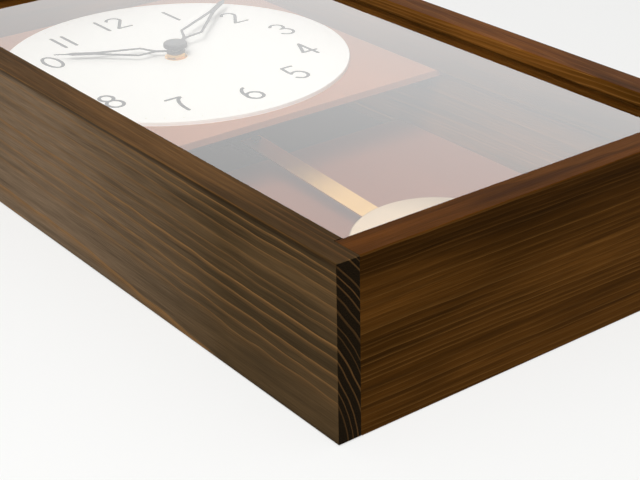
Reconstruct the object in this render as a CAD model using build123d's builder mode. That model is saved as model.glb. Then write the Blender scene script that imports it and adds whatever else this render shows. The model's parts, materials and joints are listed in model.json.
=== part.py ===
from build123d import *
import os
from math import cos, pi, radians, sin, tan

# Wall clock with a swinging pendulum, upright in its own frame: X towards 3 o'clock,
# Y from the glass to the back, Z towards 12 o'clock, the origin under the middle of the base.

# Wooden case
case_width = 260.0
case_height = 460.0
case_depth = 90.0
lip_width = 18.0  # what each board shows on the front
board_thickness = 13.0  # behind the front lip
lip_depth = 6.8  # from the front to the glass
arris_radius = 1.0
joint_chamfer = 0.25
rear_rebate_width = 7.0
rear_rebate_depth = 12.0

# Dowels that hold the four corners
dowel_radius = 3.0
dowel_length = 24.0
dowel_in_side = 9.0
dowel_spacing = 36.0
glue_gap = 0.05

# Glass and the strips that hold it
glass_thickness = 3.0
glass_clearance = 0.4
stop_depth = 22.7
stop_radius = 0.6

# Board that carries the dial, and the two cleats behind it
dial_board_thickness = 4.0
dial_board_below_dial = 9.0
dial_board_clearance = 0.5
cleat_size = 10.0
cleat_end_gap = 10.0
cleat_screw_inset = 26.0
cleat_screw_bite = 7.8  # what of the screw sits in the side panel

# Dial
dial_side_gap = 4.0  # between the dial's edge and the front lip
dial_top_gap = 3.0
dial_thickness = 2.5
hub_hole_clearance = 0.2

# Back panel and its screws
back_panel_thickness = 4.0
back_panel_top = 255.0
panel_clearance = 0.3
panel_screw_end_gap = 20.0  # from the panel's upper edge and from the case's floor to its outer screws
cleat_slot_turn = 35.0  # how each set of screws happens to have been left
panel_slot_turn = 20.0
plate_slot_turn = 65.0
small_screw_radius = 1.25
small_head_radius = 2.5
small_screw_length = 14.0
screw_gap = 0.03
screw_slot_width = 0.7
screw_slot_depth = 0.6

# Rail and plate that the clock hangs by
rail_height = 30.0
plate_width = 50.0
plate_height = 18.0
plate_thickness = 1.5
plate_screw_span = 38.0
plate_corner = 2.0
keyhole_radius = 4.5
keyhole_slot_width = 4.6
keyhole_slot_rise = 6.5
keyhole_drop = 3.0
pocket_width = 14.0
pocket_depth = 7.0
plate_screw_length = 9.0

# Hour, minute and the hands that show them
shown_hour = 10
shown_minute = 8.7
degrees_per_minute = 6.0
degrees_per_hour = 30.0
hand_thickness = 0.5
hour_hand_front = 19.2  # distances in front of the middle of the case depth
minute_hand_front = 21.9
hand_hub_radius = 6.0
hand_neck_half = 1.3
hand_needle_half = 0.55
hand_tip_half = 0.2
hand_blade_half = 2.0
hand_bar = 1.7  # width of the bars round the opening
hour_hand_length = 75.5
hour_hand_neck = 12.5
hour_hand_widest_at = 22.5
hour_hand_half_width = 7.2
hour_hand_joined_at = 50.0
hour_hand_needle_at = 64.0
minute_hand_length = 101.0
minute_hand_neck = 17.0
minute_hand_widest_at = 30.0
minute_hand_half_width = 7.6
minute_hand_joined_at = 71.0
minute_hand_needle_at = 91.0
needle_taper = 3.0
cap_radius = 7.5
cap_thickness = 2.7
cap_rounding = 1.2
cap_cover = 1.0  # of the cap in front of the arbor's end

# Clock movement
movement_width = 57.0
movement_height = 57.0
movement_below_hub = 28.0
movement_depth = 16.0
movement_wall = 1.5
movement_corner = 2.5
tower_width = 36.0  # the part below, where the pendulum arm hangs
tower_height = 37.0
tower_depth = 30.5
bushing_radius = 4.0
bushing_length = 10.0
bushing_flange_radius = 6.0
bushing_flange_thickness = 0.8
running_gap = 0.07
wheel_gap = 0.2  # between the faces of neighbouring wheels
part_gap = 0.3
press_gap = 0.02
washer_radius = 7.0
washer_thickness = 0.5
nut_across_flats = 11.0
nut_thickness = 2.5
hour_pipe_radius = 2.6
arbor_radius = 1.75
arbor_rear_radius = 1.2
arbor_pivot_radius = 0.8

# Wheels between the minute arbor and the hour pipe
minute_module = 0.5
hour_module = 0.48
minute_pinion_teeth = 12
minute_wheel_teeth = 36
hour_pinion_teeth = 10
hour_wheel_teeth = 40
knob_pinion_teeth = 12
centre_wheel_teeth = 60
centre_module = 0.32
wheel_thickness = 1.0
pinion_thickness = 1.4
wheel_direction = 225.0  # of the minute wheel, seen from the arbor
knob_direction = 250.0  # of the setting knob, seen from the minute wheel
wheel_post_radius = 0.7
tooth_share = 0.40  # of the pitch that a tooth takes, which leaves the backlash
tooth_foot = 1.15  # width of a tooth's foot and tip, as shares of its width at the pitch circle
tooth_tip = 0.45
tooth_depth = 1.25  # in modules, below and above the pitch circle
tooth_height = 0.85

# Setting knob, drive, battery and circuit
knob_shaft_radius = 1.5
knob_radius = 5.5
knob_thickness = 4.2
knob_flutes = 18
knob_flute_radius = 0.6
knob_rise = 0.3  # of the knob off the cover
rear_boss_radius = 2.4
rear_boss_height = 1.6
drive_width = 24.0
drive_height = 21.0
drive_left_x = 2.0
drive_floor_gap = 0.4
battery_radius = 7.1
battery_length = 49.0
battery_nub_radius = 2.6
battery_nub_length = 1.3
battery_top_gap = 2.3  # from the movement's upper face to the battery
battery_bay_gap = 0.5
bay_wall = 0.9
finger_notch_radius = 7.0
finger_notch_depth = 4.8
battery_edge = 0.6
terminal_thickness = 0.4
terminal_size = 9.0
battery_spring_radius = 3.5
circuit_width = 28.0
circuit_height = 31.0
circuit_thickness = 1.2
circuit_post_radius = 1.6
circuit_post_inset = 3.0
coil_radius = 7.0
coil_depth = 5.6
coil_flange = 0.8
coil_flange_step = 0.5

# Pendulum
arm_pivot_rise = 26.0  # of the pivot above the tower's floor
arm_thickness = 2.4
arm_front = 16.8
arm_neck_width = 8.0
arm_width = 20.0
arm_plate_height = 26.0
arm_plate_corner = 3.0
arm_plate_drop = 5.0  # of the arm's wide plate below the tower
arm_slot_gap = 1.3
pivot_pin_radius = 1.0
pivot_head_radius = 2.0
pivot_head_thickness = 1.4
pivot_boss_radius = 3.0
magnet_radius = 4.5
magnet_depth = 3.0
magnet_drop = 15.0
peg_rise = 11.0  # above the lower end of the arm's plate
hook_depth = 15.0
peg_radius = 1.5
peg_head_radius = 3.0
peg_head_thickness = 0.6
peg_reach = 4.1
peg_play = 0.25
swing_limit = 7.0
lean_angle = 3.55  # the rod leans back from its peg, as it does when the clock lies down
rod_width = 13.6
rod_thickness = 0.8
rod_above_peg = 6.5
bob_radius = 50.5
bob_floor_gap = 8.7  # between the bob and the front lip when the clock stands
bob_rim_depth = 10.0
bob_rim_radius = 1.5
bob_dome = 3.5
bob_wall = 0.8
bob_plate_thickness = 1.5
bob_stud_radius = 1.5
bob_nut_radius = 4.5
bob_nut_bore_depth = 5.0
bob_stud_tip_gap = 0.4
rod_past_bob_centre = 12.0
rest_gap = 0.3

# Values that follow from those above
half_width = case_width / 2
half_depth = case_depth / 2
web_x = half_width - board_thickness
lip_x = half_width - lip_width
glass_front_y = -half_depth + lip_depth
glass_back_y = glass_front_y + glass_thickness
board_front_y = glass_back_y + stop_depth
dial_radius = lip_x - dial_side_gap
dial_height = case_height - lip_width - dial_top_gap - dial_radius
dial_board_bottom = dial_height - dial_radius - dial_board_below_dial
board_back_y = board_front_y + dial_board_thickness
dial_front_y = board_front_y - dial_thickness
shoulder_y = half_depth - rear_rebate_depth
rebate_x = web_x + rear_rebate_width
rebate_low_z = board_thickness - rear_rebate_width
rebate_high_z = case_height - rebate_low_z
panel_back_y = shoulder_y + back_panel_thickness
movement_front_y = board_back_y
movement_back_y = movement_front_y + movement_depth
movement_top_z = dial_height - movement_below_hub + movement_height
movement_low_z = dial_height - movement_below_hub
tower_low_z = movement_low_z - tower_height
tower_back_y = movement_front_y + tower_depth
split_y = movement_front_y + movement_depth / 2
inner_front_y = movement_front_y + movement_wall
inner_back_y = movement_back_y - movement_wall
nut_front_y = dial_front_y - washer_thickness - nut_thickness
bushing_front_y = movement_front_y - bushing_length
train_distance = minute_module * (minute_pinion_teeth + minute_wheel_teeth) / 2
minute_wheel_x = train_distance * cos(radians(wheel_direction))
minute_wheel_z = dial_height + train_distance * sin(radians(wheel_direction))
knob_distance = minute_module * (minute_wheel_teeth + knob_pinion_teeth) / 2
knob_x = minute_wheel_x + knob_distance * cos(radians(knob_direction))
knob_z = minute_wheel_z + knob_distance * sin(radians(knob_direction))
hour_wheel_front_y = inner_front_y + bushing_flange_thickness + wheel_gap
hour_wheel_back_y = hour_wheel_front_y + wheel_thickness
minute_gear_front_y = hour_wheel_back_y + wheel_gap
minute_gear_back_y = minute_gear_front_y + pinion_thickness
minute_wheel_front_y = minute_gear_front_y + (pinion_thickness - wheel_thickness) / 2
minute_wheel_back_y = minute_wheel_front_y + wheel_thickness
centre_wheel_front_y = minute_gear_back_y + 4 * wheel_gap
centre_wheel_back_y = centre_wheel_front_y + wheel_thickness
centre_wheel_radius = centre_module * centre_wheel_teeth / 2
minute_angle = shown_minute * degrees_per_minute
hour_angle = (shown_hour + shown_minute / 60) * degrees_per_hour
arm_back_y = arm_front + arm_thickness
arm_pivot_height = tower_low_z + arm_pivot_rise
arm_plate_top = tower_low_z - arm_plate_drop
arm_bottom_height = arm_plate_top - arm_plate_height
hook_height = arm_bottom_height + peg_rise
bob_distance = hook_height - lip_width - bob_floor_gap - bob_radius
inner_tower_back_y = tower_back_y - movement_wall
battery_height = movement_top_z - battery_top_gap - battery_radius
bay_low_z = battery_height - battery_radius - battery_bay_gap
bay_high_z = battery_height + battery_radius + battery_bay_gap
inner_movement_x = movement_width / 2 - movement_wall
battery_y = inner_front_y + battery_radius + glue_gap
circuit_low_z = tower_low_z + 2 * movement_wall
circuit_back_y = movement_back_y - part_gap
circuit_front_y = circuit_back_y - circuit_thickness
magnet_z = arm_pivot_height - magnet_drop


def facing(y):
    """The upright plane at depth y, seen from the front: its own Z points to the viewer."""
    return Plane.XZ.offset(-y)


def pointing(y, clock_angle, height=0.0):
    """An upright plane at depth y whose own Y points at an angle of the dial, clockwise from 12."""
    turn = radians(clock_angle)
    across = (cos(turn), 0, -sin(turn))
    return Plane(origin=(0, y, height), x_dir=across, z_dir=(0, -1, 0))


def block(low, high, mode=Mode.ADD):
    """A box between two opposite corners."""
    size = [b - a for a, b in zip(low, high)]
    with Locations(tuple(low)):
        Box(*size, align=(Align.MIN, Align.MIN, Align.MIN), mode=mode)


def turned(y_front, y_back, radius, x=0.0, z=0.0, mode=Mode.ADD):
    """A round bar along Y between two depths."""
    with BuildSketch(facing(y_back)) as disc:
        with Locations((x, z)):
            Circle(radius)
    extrude(disc.sketch, amount=y_back - y_front, mode=mode)


def tooth_ring(teeth, module, phase):
    """A toothed outline: the root disc, and on it teeth that narrow in two steps to their tips."""
    pitch_radius = module * teeth / 2
    root_radius = pitch_radius - tooth_depth * module
    tip_radius = pitch_radius + tooth_height * module
    half_pitch_width = tooth_share * pi * module / 2
    half_root_width = half_pitch_width * tooth_foot
    half_tip_width = half_pitch_width * tooth_tip
    Circle(root_radius)
    with PolarLocations(0, teeth, start_angle=phase):
        Polygon(
            (root_radius * 0.9, -half_root_width),
            (pitch_radius, -half_pitch_width),
            (tip_radius, -half_tip_width),
            (tip_radius, half_tip_width),
            (pitch_radius, half_pitch_width),
            (root_radius * 0.9, half_root_width),
            align=None,
        )


def mesh_phase(own_teeth, other_teeth, direction, other_phase):
    """The phase that puts a gap of this wheel where the other wheel's tooth comes, towards direction."""
    other_pitch = 360 / other_teeth
    own_pitch = 360 / own_teeth
    offset = (direction - other_phase) % other_pitch
    back = direction + 180 + offset * own_pitch / other_pitch
    return back + own_pitch / 2


def screw_bodies(places, length, head_radius, slot_turn=0.0):
    """Countersunk slotted screws: each place is where the head's flat middle lies, its Z pointing out."""
    head_height = head_radius - small_screw_radius
    with Locations(*places):
        Cylinder(small_screw_radius, length, align=(Align.CENTER, Align.CENTER, Align.MAX))
        Cone(
            small_screw_radius,
            head_radius,
            head_height,
            align=(Align.CENTER, Align.CENTER, Align.MAX),
        )
        with Locations(Location((0, 0, 0), (0, 0, slot_turn))):
            Box(
                2 * head_radius,
                screw_slot_width,
                2 * screw_slot_depth,
                mode=Mode.SUBTRACT,
            )


def screw_holes(places, length, head_radius):
    """The holes that those screws sit in."""
    head_height = head_radius - small_screw_radius
    with Locations(*places):
        Cylinder(
            small_screw_radius + screw_gap,
            length + screw_gap,
            align=(Align.CENTER, Align.CENTER, Align.MAX),
            mode=Mode.SUBTRACT,
        )
        Cone(
            small_screw_radius + screw_gap,
            head_radius + screw_gap,
            head_height,
            align=(Align.CENTER, Align.CENTER, Align.MAX),
            mode=Mode.SUBTRACT,
        )


def finish(piece, name):
    """Names a finished piece and writes it."""
    piece.part.label = name
    export_step(piece.part, f"parts/{name}.step")


# Places of the screws, each with its own Z pointing out of the head
back_screw_x = web_x + rear_rebate_width / 2
back_screw_low_z = board_thickness + panel_screw_end_gap
back_screw_high_z = back_panel_top - panel_screw_end_gap
back_screws = [
    Location((side * back_screw_x, panel_back_y, height), (-90, 0, 0))
    for side in (-1, 1)
    for height in (back_screw_low_z, (back_screw_low_z + back_screw_high_z) / 2, back_screw_high_z)
]
side_screw_count = len(back_screws) // 2
floor_screws = [
    Location((side * back_screw_x / 2, panel_back_y, (board_thickness + rebate_low_z) / 2), (-90, 0, 0))
    for side in (-1, 1)
]
back_screws += floor_screws
cleat_low_z = dial_board_bottom + cleat_end_gap
cleat_high_z = case_height - board_thickness - cleat_end_gap
cleat_middle_y = board_back_y + cleat_size / 2
left_cleat_screws = [
    Location((-web_x + cleat_size, cleat_middle_y, z), (0, 90, 0))
    for z in (cleat_low_z + cleat_screw_inset, cleat_high_z - cleat_screw_inset)
]
right_cleat_screws = [
    Location((web_x - cleat_size, cleat_middle_y, z), (0, -90, 0))
    for z in (cleat_low_z + cleat_screw_inset, cleat_high_z - cleat_screw_inset)
]
cleat_screw_length = cleat_size + cleat_screw_bite
rail_high_z = rebate_high_z - panel_clearance
rail_low_z = rail_high_z - rail_height
plate_z = (rail_low_z + rail_high_z) / 2
plate_screws = [
    Location((side * plate_screw_span / 2, half_depth, plate_z), (-90, 0, 0)) for side in (-1, 1)
]
dowel_ys = (-dowel_spacing / 2, dowel_spacing / 2)

# Side panel: web, front lip cut back at both ends, rear rebate, blind dowel holes
with BuildPart() as left_side_panel:
    block((-half_width, -half_depth, 0), (-web_x, half_depth, case_height))
    fillet(left_side_panel.edges().filter_by(Axis.Z).group_by(Axis.X)[0], arris_radius)
    block((-web_x, -half_depth, lip_width), (-lip_x, glass_front_y, case_height - lip_width))
    inner_arris = left_side_panel.edges().filter_by(Axis.Z).filter_by_position(
        Axis.X, -lip_x - 0.01, -lip_x + 0.01
    )
    fillet(inner_arris.group_by(Axis.Y)[0], arris_radius)
    block(
        (-rebate_x, shoulder_y, rebate_low_z),
        (-web_x, half_depth, rebate_high_z),
        mode=Mode.SUBTRACT,
    )
    for z in (board_thickness / 2, case_height - board_thickness / 2):
        with BuildSketch(Plane.YZ.offset(-web_x)):
            with Locations(*[(y, z) for y in dowel_ys]):
                Circle(dowel_radius + glue_gap)
        extrude(amount=-dowel_in_side - glue_gap, mode=Mode.SUBTRACT)
    ends = left_side_panel.faces().filter_by(Axis.Z)
    outer_ends = ends.group_by(Axis.Z)
    chamfer(outer_ends[0].edges(), joint_chamfer)
    chamfer(outer_ends[-1].edges(), joint_chamfer)
    screw_holes(back_screws[:side_screw_count], small_screw_length, small_head_radius)
    screw_holes(left_cleat_screws, cleat_screw_length, small_head_radius)
finish(left_side_panel, "left_side_panel")

with BuildPart() as right_side_panel:
    mirror(left_side_panel.part, about=Plane.YZ)
finish(right_side_panel, "right_side_panel")

# Bottom and top panels, between the webs of the sides, with the lip over their whole length
with BuildPart() as bottom_panel:
    block((-web_x, -half_depth, 0), (web_x, half_depth, board_thickness))
    block((-web_x, -half_depth, board_thickness), (web_x, glass_front_y, lip_width))
    block((-web_x, shoulder_y, rebate_low_z), (web_x, half_depth, board_thickness), mode=Mode.SUBTRACT)
    front_edges = bottom_panel.edges().filter_by(Axis.X).filter_by_position(
        Axis.Y, -half_depth - 0.01, -half_depth + 0.01
    )
    fillet(front_edges, arris_radius)
    end_faces = bottom_panel.faces().filter_by(Axis.X)
    chamfer(end_faces.group_by(Axis.X)[0].edges(), joint_chamfer)
    end_faces = bottom_panel.faces().filter_by(Axis.X)
    chamfer(end_faces.group_by(Axis.X)[-1].edges(), joint_chamfer)
    for side in (-1, 1):
        with BuildSketch(Plane.YZ.offset(side * web_x)):
            with Locations(*[(y, board_thickness / 2) for y in dowel_ys]):
                Circle(dowel_radius + glue_gap)
        extrude(amount=-side * (dowel_length - dowel_in_side + glue_gap), mode=Mode.SUBTRACT)
    screw_holes(floor_screws, small_screw_length, small_head_radius)
finish(bottom_panel, "bottom_panel")

with BuildPart() as top_panel:
    block((-web_x, -half_depth, case_height - board_thickness), (web_x, half_depth, case_height))
    block(
        (-web_x, -half_depth, case_height - lip_width),
        (web_x, glass_front_y, case_height - board_thickness),
    )
    block(
        (-web_x, shoulder_y, case_height - board_thickness),
        (web_x, half_depth, rebate_high_z),
        mode=Mode.SUBTRACT,
    )
    front_edges = top_panel.edges().filter_by(Axis.X).filter_by_position(
        Axis.Y, -half_depth - 0.01, -half_depth + 0.01
    )
    fillet(front_edges, arris_radius)
    end_faces = top_panel.faces().filter_by(Axis.X)
    chamfer(end_faces.group_by(Axis.X)[0].edges(), joint_chamfer)
    end_faces = top_panel.faces().filter_by(Axis.X)
    chamfer(end_faces.group_by(Axis.X)[-1].edges(), joint_chamfer)
    for side in (-1, 1):
        with BuildSketch(Plane.YZ.offset(side * web_x)):
            with Locations(*[(y, case_height - board_thickness / 2) for y in dowel_ys]):
                Circle(dowel_radius + glue_gap)
        extrude(amount=-side * (dowel_length - dowel_in_side + glue_gap), mode=Mode.SUBTRACT)
finish(top_panel, "top_panel")

with BuildPart() as corner_dowels:
    for side in (-1, 1):
        with BuildSketch(Plane.YZ.offset(side * (web_x + dowel_in_side))):
            for z in (board_thickness / 2, case_height - board_thickness / 2):
                with Locations(*[(y, z) for y in dowel_ys]):
                    Circle(dowel_radius)
        extrude(amount=-side * dowel_length)
finish(corner_dowels, "corner_dowels")

# Glass and its four strips
with BuildPart() as front_glass:
    block(
        (-web_x + glass_clearance, glass_front_y, board_thickness + glass_clearance),
        (web_x - glass_clearance, glass_back_y, case_height - board_thickness - glass_clearance),
    )
finish(front_glass, "front_glass")

with BuildPart() as glass_stop_left:
    block((-web_x, glass_back_y, board_thickness), (-lip_x, board_front_y, case_height - board_thickness))
    strip_edges = glass_stop_left.edges().filter_by(Axis.Z).group_by(Axis.X)[-1]
    fillet(strip_edges.group_by(Axis.Y)[-1], stop_radius)
finish(glass_stop_left, "glass_stop_left")

with BuildPart() as glass_stop_right:
    mirror(glass_stop_left.part, about=Plane.YZ)
finish(glass_stop_right, "glass_stop_right")

with BuildPart() as glass_stop_bottom:
    block((-lip_x, glass_back_y, board_thickness), (lip_x, board_front_y, lip_width))
    strip_edges = glass_stop_bottom.edges().filter_by(Axis.X).group_by(Axis.Z)[-1]
    fillet(strip_edges.group_by(Axis.Y)[-1], stop_radius)
finish(glass_stop_bottom, "glass_stop_bottom")

with BuildPart() as glass_stop_top:
    block(
        (-lip_x, glass_back_y, case_height - lip_width),
        (lip_x, board_front_y, case_height - board_thickness),
    )
    strip_edges = glass_stop_top.edges().filter_by(Axis.X).group_by(Axis.Z)[0]
    fillet(strip_edges.group_by(Axis.Y)[-1], stop_radius)
finish(glass_stop_top, "glass_stop_top")

# Dial board, its cleats and their screws
board_x = web_x - dial_board_clearance
board_top_z = case_height - board_thickness - dial_board_clearance
with BuildPart() as dial_board:
    block((-board_x, board_front_y, dial_board_bottom), (board_x, board_back_y, board_top_z))
    turned(
        board_front_y,
        board_back_y,
        bushing_radius + hub_hole_clearance,
        z=dial_height,
        mode=Mode.SUBTRACT,
    )
finish(dial_board, "dial_board")

with BuildPart() as dial_board_cleat_left:
    block((-web_x, board_back_y, cleat_low_z), (-web_x + cleat_size, board_back_y + cleat_size, cleat_high_z))
    cleat_edges = dial_board_cleat_left.edges().filter_by(Axis.Z).group_by(Axis.X)[-1]
    chamfer(cleat_edges.group_by(Axis.Y)[-1], stop_radius)
    screw_holes(left_cleat_screws, cleat_screw_length, small_head_radius)
finish(dial_board_cleat_left, "dial_board_cleat_left")

with BuildPart() as dial_board_cleat_right:
    mirror(dial_board_cleat_left.part, about=Plane.YZ)
finish(dial_board_cleat_right, "dial_board_cleat_right")

with BuildPart() as cleat_screws:
    cleat_screw_places = left_cleat_screws + right_cleat_screws
    screw_bodies(cleat_screw_places, cleat_screw_length, small_head_radius, cleat_slot_turn)
finish(cleat_screws, "cleat_screws")

# Dial, washer and nut on the threaded bushing
with BuildPart() as dial_plate:
    turned(dial_front_y, board_front_y, dial_radius, z=dial_height)
    rim = dial_plate.edges().filter_by(GeomType.CIRCLE).group_by(Axis.Y)[0]
    chamfer(rim, joint_chamfer)
    turned(
        dial_front_y,
        board_front_y,
        bushing_radius + hub_hole_clearance,
        z=dial_height,
        mode=Mode.SUBTRACT,
    )
finish(dial_plate, "dial_plate")

with BuildPart() as centre_washer:
    turned(dial_front_y - washer_thickness, dial_front_y, washer_radius, z=dial_height)
    turned(
        dial_front_y - washer_thickness,
        dial_front_y,
        bushing_radius + hub_hole_clearance,
        z=dial_height,
        mode=Mode.SUBTRACT,
    )
finish(centre_washer, "centre_washer")

with BuildPart() as centre_nut:
    with BuildSketch(facing(dial_front_y - washer_thickness)):
        with Locations((0, dial_height)):
            RegularPolygon(nut_across_flats / 2, 6, major_radius=False)
    extrude(amount=nut_thickness)
    chamfer(centre_nut.faces().sort_by(Axis.Y)[0].edges(), joint_chamfer)
    turned(
        nut_front_y,
        dial_front_y - washer_thickness,
        bushing_radius + press_gap,
        z=dial_height,
        mode=Mode.SUBTRACT,
    )
finish(centre_nut, "centre_nut")


def hand_outline(length, neck_end, widest_at, half_width, joined_at, needle_at):
    """Outer outline of an openwork hand that points along +Y: hub, neck, kite, blade and needle."""
    with BuildLine() as outline:
        right = Polyline(
            (hand_neck_half, 0),
            (hand_neck_half, neck_end),
            (half_width, widest_at),
            (hand_blade_half, joined_at),
            (hand_blade_half, needle_at),
            (hand_needle_half, needle_at + needle_taper),
            (hand_tip_half, length),
        )
        Line(right @ 1, (-hand_tip_half, length))
        mirror(right, about=Plane.YZ)
        Line((hand_neck_half, 0), (-hand_neck_half, 0))
    make_face(outline.edges())
    Circle(hand_hub_radius)


def hand_window(neck_end, widest_at, half_width, joined_at):
    """The opening inside the kite, a bar's width in from the outline."""
    with BuildLine() as window:
        Polyline(
            (0, neck_end + hand_bar),
            (half_width - hand_bar, widest_at),
            (0, joined_at - hand_bar),
            (hand_bar - half_width, widest_at),
            close=True,
        )
    make_face(window.edges(), mode=Mode.SUBTRACT)


# Hands, open in the middle, at the time that the clock shows
with BuildPart() as hour_hand:
    with BuildSketch(pointing(-hour_hand_front + hand_thickness, hour_angle, dial_height)):
        hand_outline(
            hour_hand_length,
            hour_hand_neck,
            hour_hand_widest_at,
            hour_hand_half_width,
            hour_hand_joined_at,
            hour_hand_needle_at,
        )
        hand_window(hour_hand_neck, hour_hand_widest_at, hour_hand_half_width, hour_hand_joined_at)
        Circle(hour_pipe_radius + press_gap, mode=Mode.SUBTRACT)
    extrude(amount=hand_thickness)
finish(hour_hand, "hour_hand")

with BuildPart() as minute_hand:
    with BuildSketch(pointing(-minute_hand_front + hand_thickness, minute_angle, dial_height)):
        hand_outline(
            minute_hand_length,
            minute_hand_neck,
            minute_hand_widest_at,
            minute_hand_half_width,
            minute_hand_joined_at,
            minute_hand_needle_at,
        )
        hand_window(minute_hand_neck, minute_hand_widest_at, minute_hand_half_width, minute_hand_joined_at)
        Circle(arbor_radius + press_gap, mode=Mode.SUBTRACT)
    extrude(amount=hand_thickness)
finish(minute_hand, "minute_hand")

cap_front_y = -minute_hand_front - cap_thickness
arbor_front_y = cap_front_y + cap_cover
with BuildPart() as hand_cap:
    turned(cap_front_y, -minute_hand_front, cap_radius, z=dial_height)
    cap_rim = hand_cap.edges().filter_by(GeomType.CIRCLE).group_by(Axis.Y)[0]
    fillet(cap_rim, cap_rounding)
    turned(
        arbor_front_y - press_gap,
        -minute_hand_front,
        arbor_radius + press_gap,
        z=dial_height,
        mode=Mode.SUBTRACT,
    )
finish(hand_cap, "hand_cap")


# Movement: a front tray and a back cover, with a tower below for the pendulum arm
def movement_outline(inset):
    """The movement's outline, seen from the front, drawn in by inset."""
    middle_z = (movement_top_z + movement_low_z) / 2
    with Locations((0, middle_z)):
        RectangleRounded(
            movement_width - 2 * inset,
            movement_height - 2 * inset,
            movement_corner - inset + press_gap,
        )
    with Locations((0, tower_low_z + inset)):
        Rectangle(
            tower_width - 2 * inset,
            tower_height + movement_corner,
            align=(Align.CENTER, Align.MIN),
        )


with BuildPart() as movement_case_front:
    with BuildSketch(facing(split_y)):
        movement_outline(0)
    extrude(amount=split_y - movement_front_y)
    with BuildSketch(facing(split_y)):
        movement_outline(movement_wall)
    extrude(amount=split_y - inner_front_y, mode=Mode.SUBTRACT)
    turned(movement_front_y, inner_front_y, bushing_radius + press_gap, z=dial_height, mode=Mode.SUBTRACT)
    # wall under the battery
    block(
        (-inner_movement_x, inner_front_y, bay_low_z - bay_wall),
        (inner_movement_x, split_y, bay_low_z),
    )
    turned(inner_front_y, minute_wheel_back_y + wheel_gap, wheel_post_radius, minute_wheel_x, minute_wheel_z)
    turned(inner_front_y, minute_gear_front_y - wheel_gap, knob_shaft_radius, knob_x, knob_z)
    turned(inner_front_y, minute_gear_back_y, wheel_post_radius, knob_x, knob_z)
    for side in (-1, 1):
        post_x = side * (circuit_width / 2 - circuit_post_inset)
        for z in (circuit_low_z + circuit_post_inset, circuit_low_z + circuit_height - circuit_post_inset):
            turned(inner_front_y, circuit_front_y, circuit_post_radius, post_x, z)
finish(movement_case_front, "movement_case_front")

with BuildPart() as movement_case_back:
    with BuildSketch(facing(movement_back_y)):
        movement_outline(0)
    extrude(amount=movement_back_y - split_y)
    with BuildSketch(facing(tower_back_y)):
        with Locations((0, tower_low_z)):
            Rectangle(tower_width, tower_height, align=(Align.CENTER, Align.MIN))
    extrude(amount=tower_back_y - split_y)
    with BuildSketch(facing(inner_back_y)):
        movement_outline(movement_wall)
    extrude(amount=inner_back_y - split_y, mode=Mode.SUBTRACT)
    with BuildSketch(facing(inner_tower_back_y)):
        with Locations((0, tower_low_z + movement_wall)):
            Rectangle(
                tower_width - 2 * movement_wall,
                tower_height - 2 * movement_wall,
                align=(Align.CENTER, Align.MIN),
            )
    extrude(amount=inner_tower_back_y - split_y, mode=Mode.SUBTRACT)
    # battery bay, open to the back
    block(
        (-inner_movement_x, split_y, bay_low_z),
        (inner_movement_x, movement_back_y, bay_high_z),
        mode=Mode.SUBTRACT,
    )
    block(
        (-inner_movement_x, split_y, bay_low_z - bay_wall),
        (inner_movement_x, inner_back_y, bay_low_z),
    )
    # finger notch at the bay's upper edge
    with BuildSketch(Plane.XZ.offset(-movement_back_y)):
        with Locations((0, movement_top_z)):
            Circle(finger_notch_radius)
    extrude(amount=finger_notch_depth, mode=Mode.SUBTRACT)
    # rear bearing of the minute arbor, the knob's hole, the pivot pin's seat
    turned(inner_back_y - rear_boss_height, inner_back_y, rear_boss_radius, z=dial_height)
    turned(
        inner_back_y - rear_boss_height,
        inner_back_y + movement_wall / 2,
        arbor_pivot_radius + running_gap,
        z=dial_height,
        mode=Mode.SUBTRACT,
    )
    turned(inner_back_y, movement_back_y, knob_shaft_radius + running_gap, knob_x, knob_z, mode=Mode.SUBTRACT)
    turned(arm_back_y + part_gap, inner_tower_back_y, pivot_boss_radius, z=arm_pivot_height)
    turned(
        arm_back_y + part_gap,
        tower_back_y,
        pivot_pin_radius + press_gap,
        z=arm_pivot_height,
        mode=Mode.SUBTRACT,
    )
    # slot in the floor that the arm swings in
    slot_half = arm_neck_width / 2 + arm_pivot_rise * tan(radians(swing_limit)) + arm_slot_gap
    block(
        (-slot_half, arm_front - arm_slot_gap, tower_low_z),
        (slot_half, inner_tower_back_y, tower_low_z + movement_wall),
        mode=Mode.SUBTRACT,
    )
    outer_tower = movement_case_back.edges().filter_by(Axis.Z).filter_by_position(
        Axis.Y, tower_back_y - 0.01, tower_back_y + 0.01
    )
    fillet(outer_tower, movement_wall)
finish(movement_case_back, "movement_case_back")

with BuildPart() as movement_bushing:
    turned(bushing_front_y, inner_front_y, bushing_radius, z=dial_height)
    turned(inner_front_y, inner_front_y + bushing_flange_thickness, bushing_flange_radius, z=dial_height)
    turned(
        bushing_front_y,
        inner_front_y + bushing_flange_thickness,
        hour_pipe_radius + running_gap,
        z=dial_height,
        mode=Mode.SUBTRACT,
    )
finish(movement_bushing, "movement_bushing")

# Wheels. Each one's phase puts it in mesh with the wheel that turns it.
minute_pinion_phase = 0.0
minute_wheel_phase = mesh_phase(minute_wheel_teeth, minute_pinion_teeth, wheel_direction, minute_pinion_phase)
hour_pinion_phase = 0.0
hour_wheel_phase = mesh_phase(hour_wheel_teeth, hour_pinion_teeth, wheel_direction + 180, hour_pinion_phase)
knob_pinion_phase = mesh_phase(knob_pinion_teeth, minute_wheel_teeth, knob_direction, minute_wheel_phase)

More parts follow.
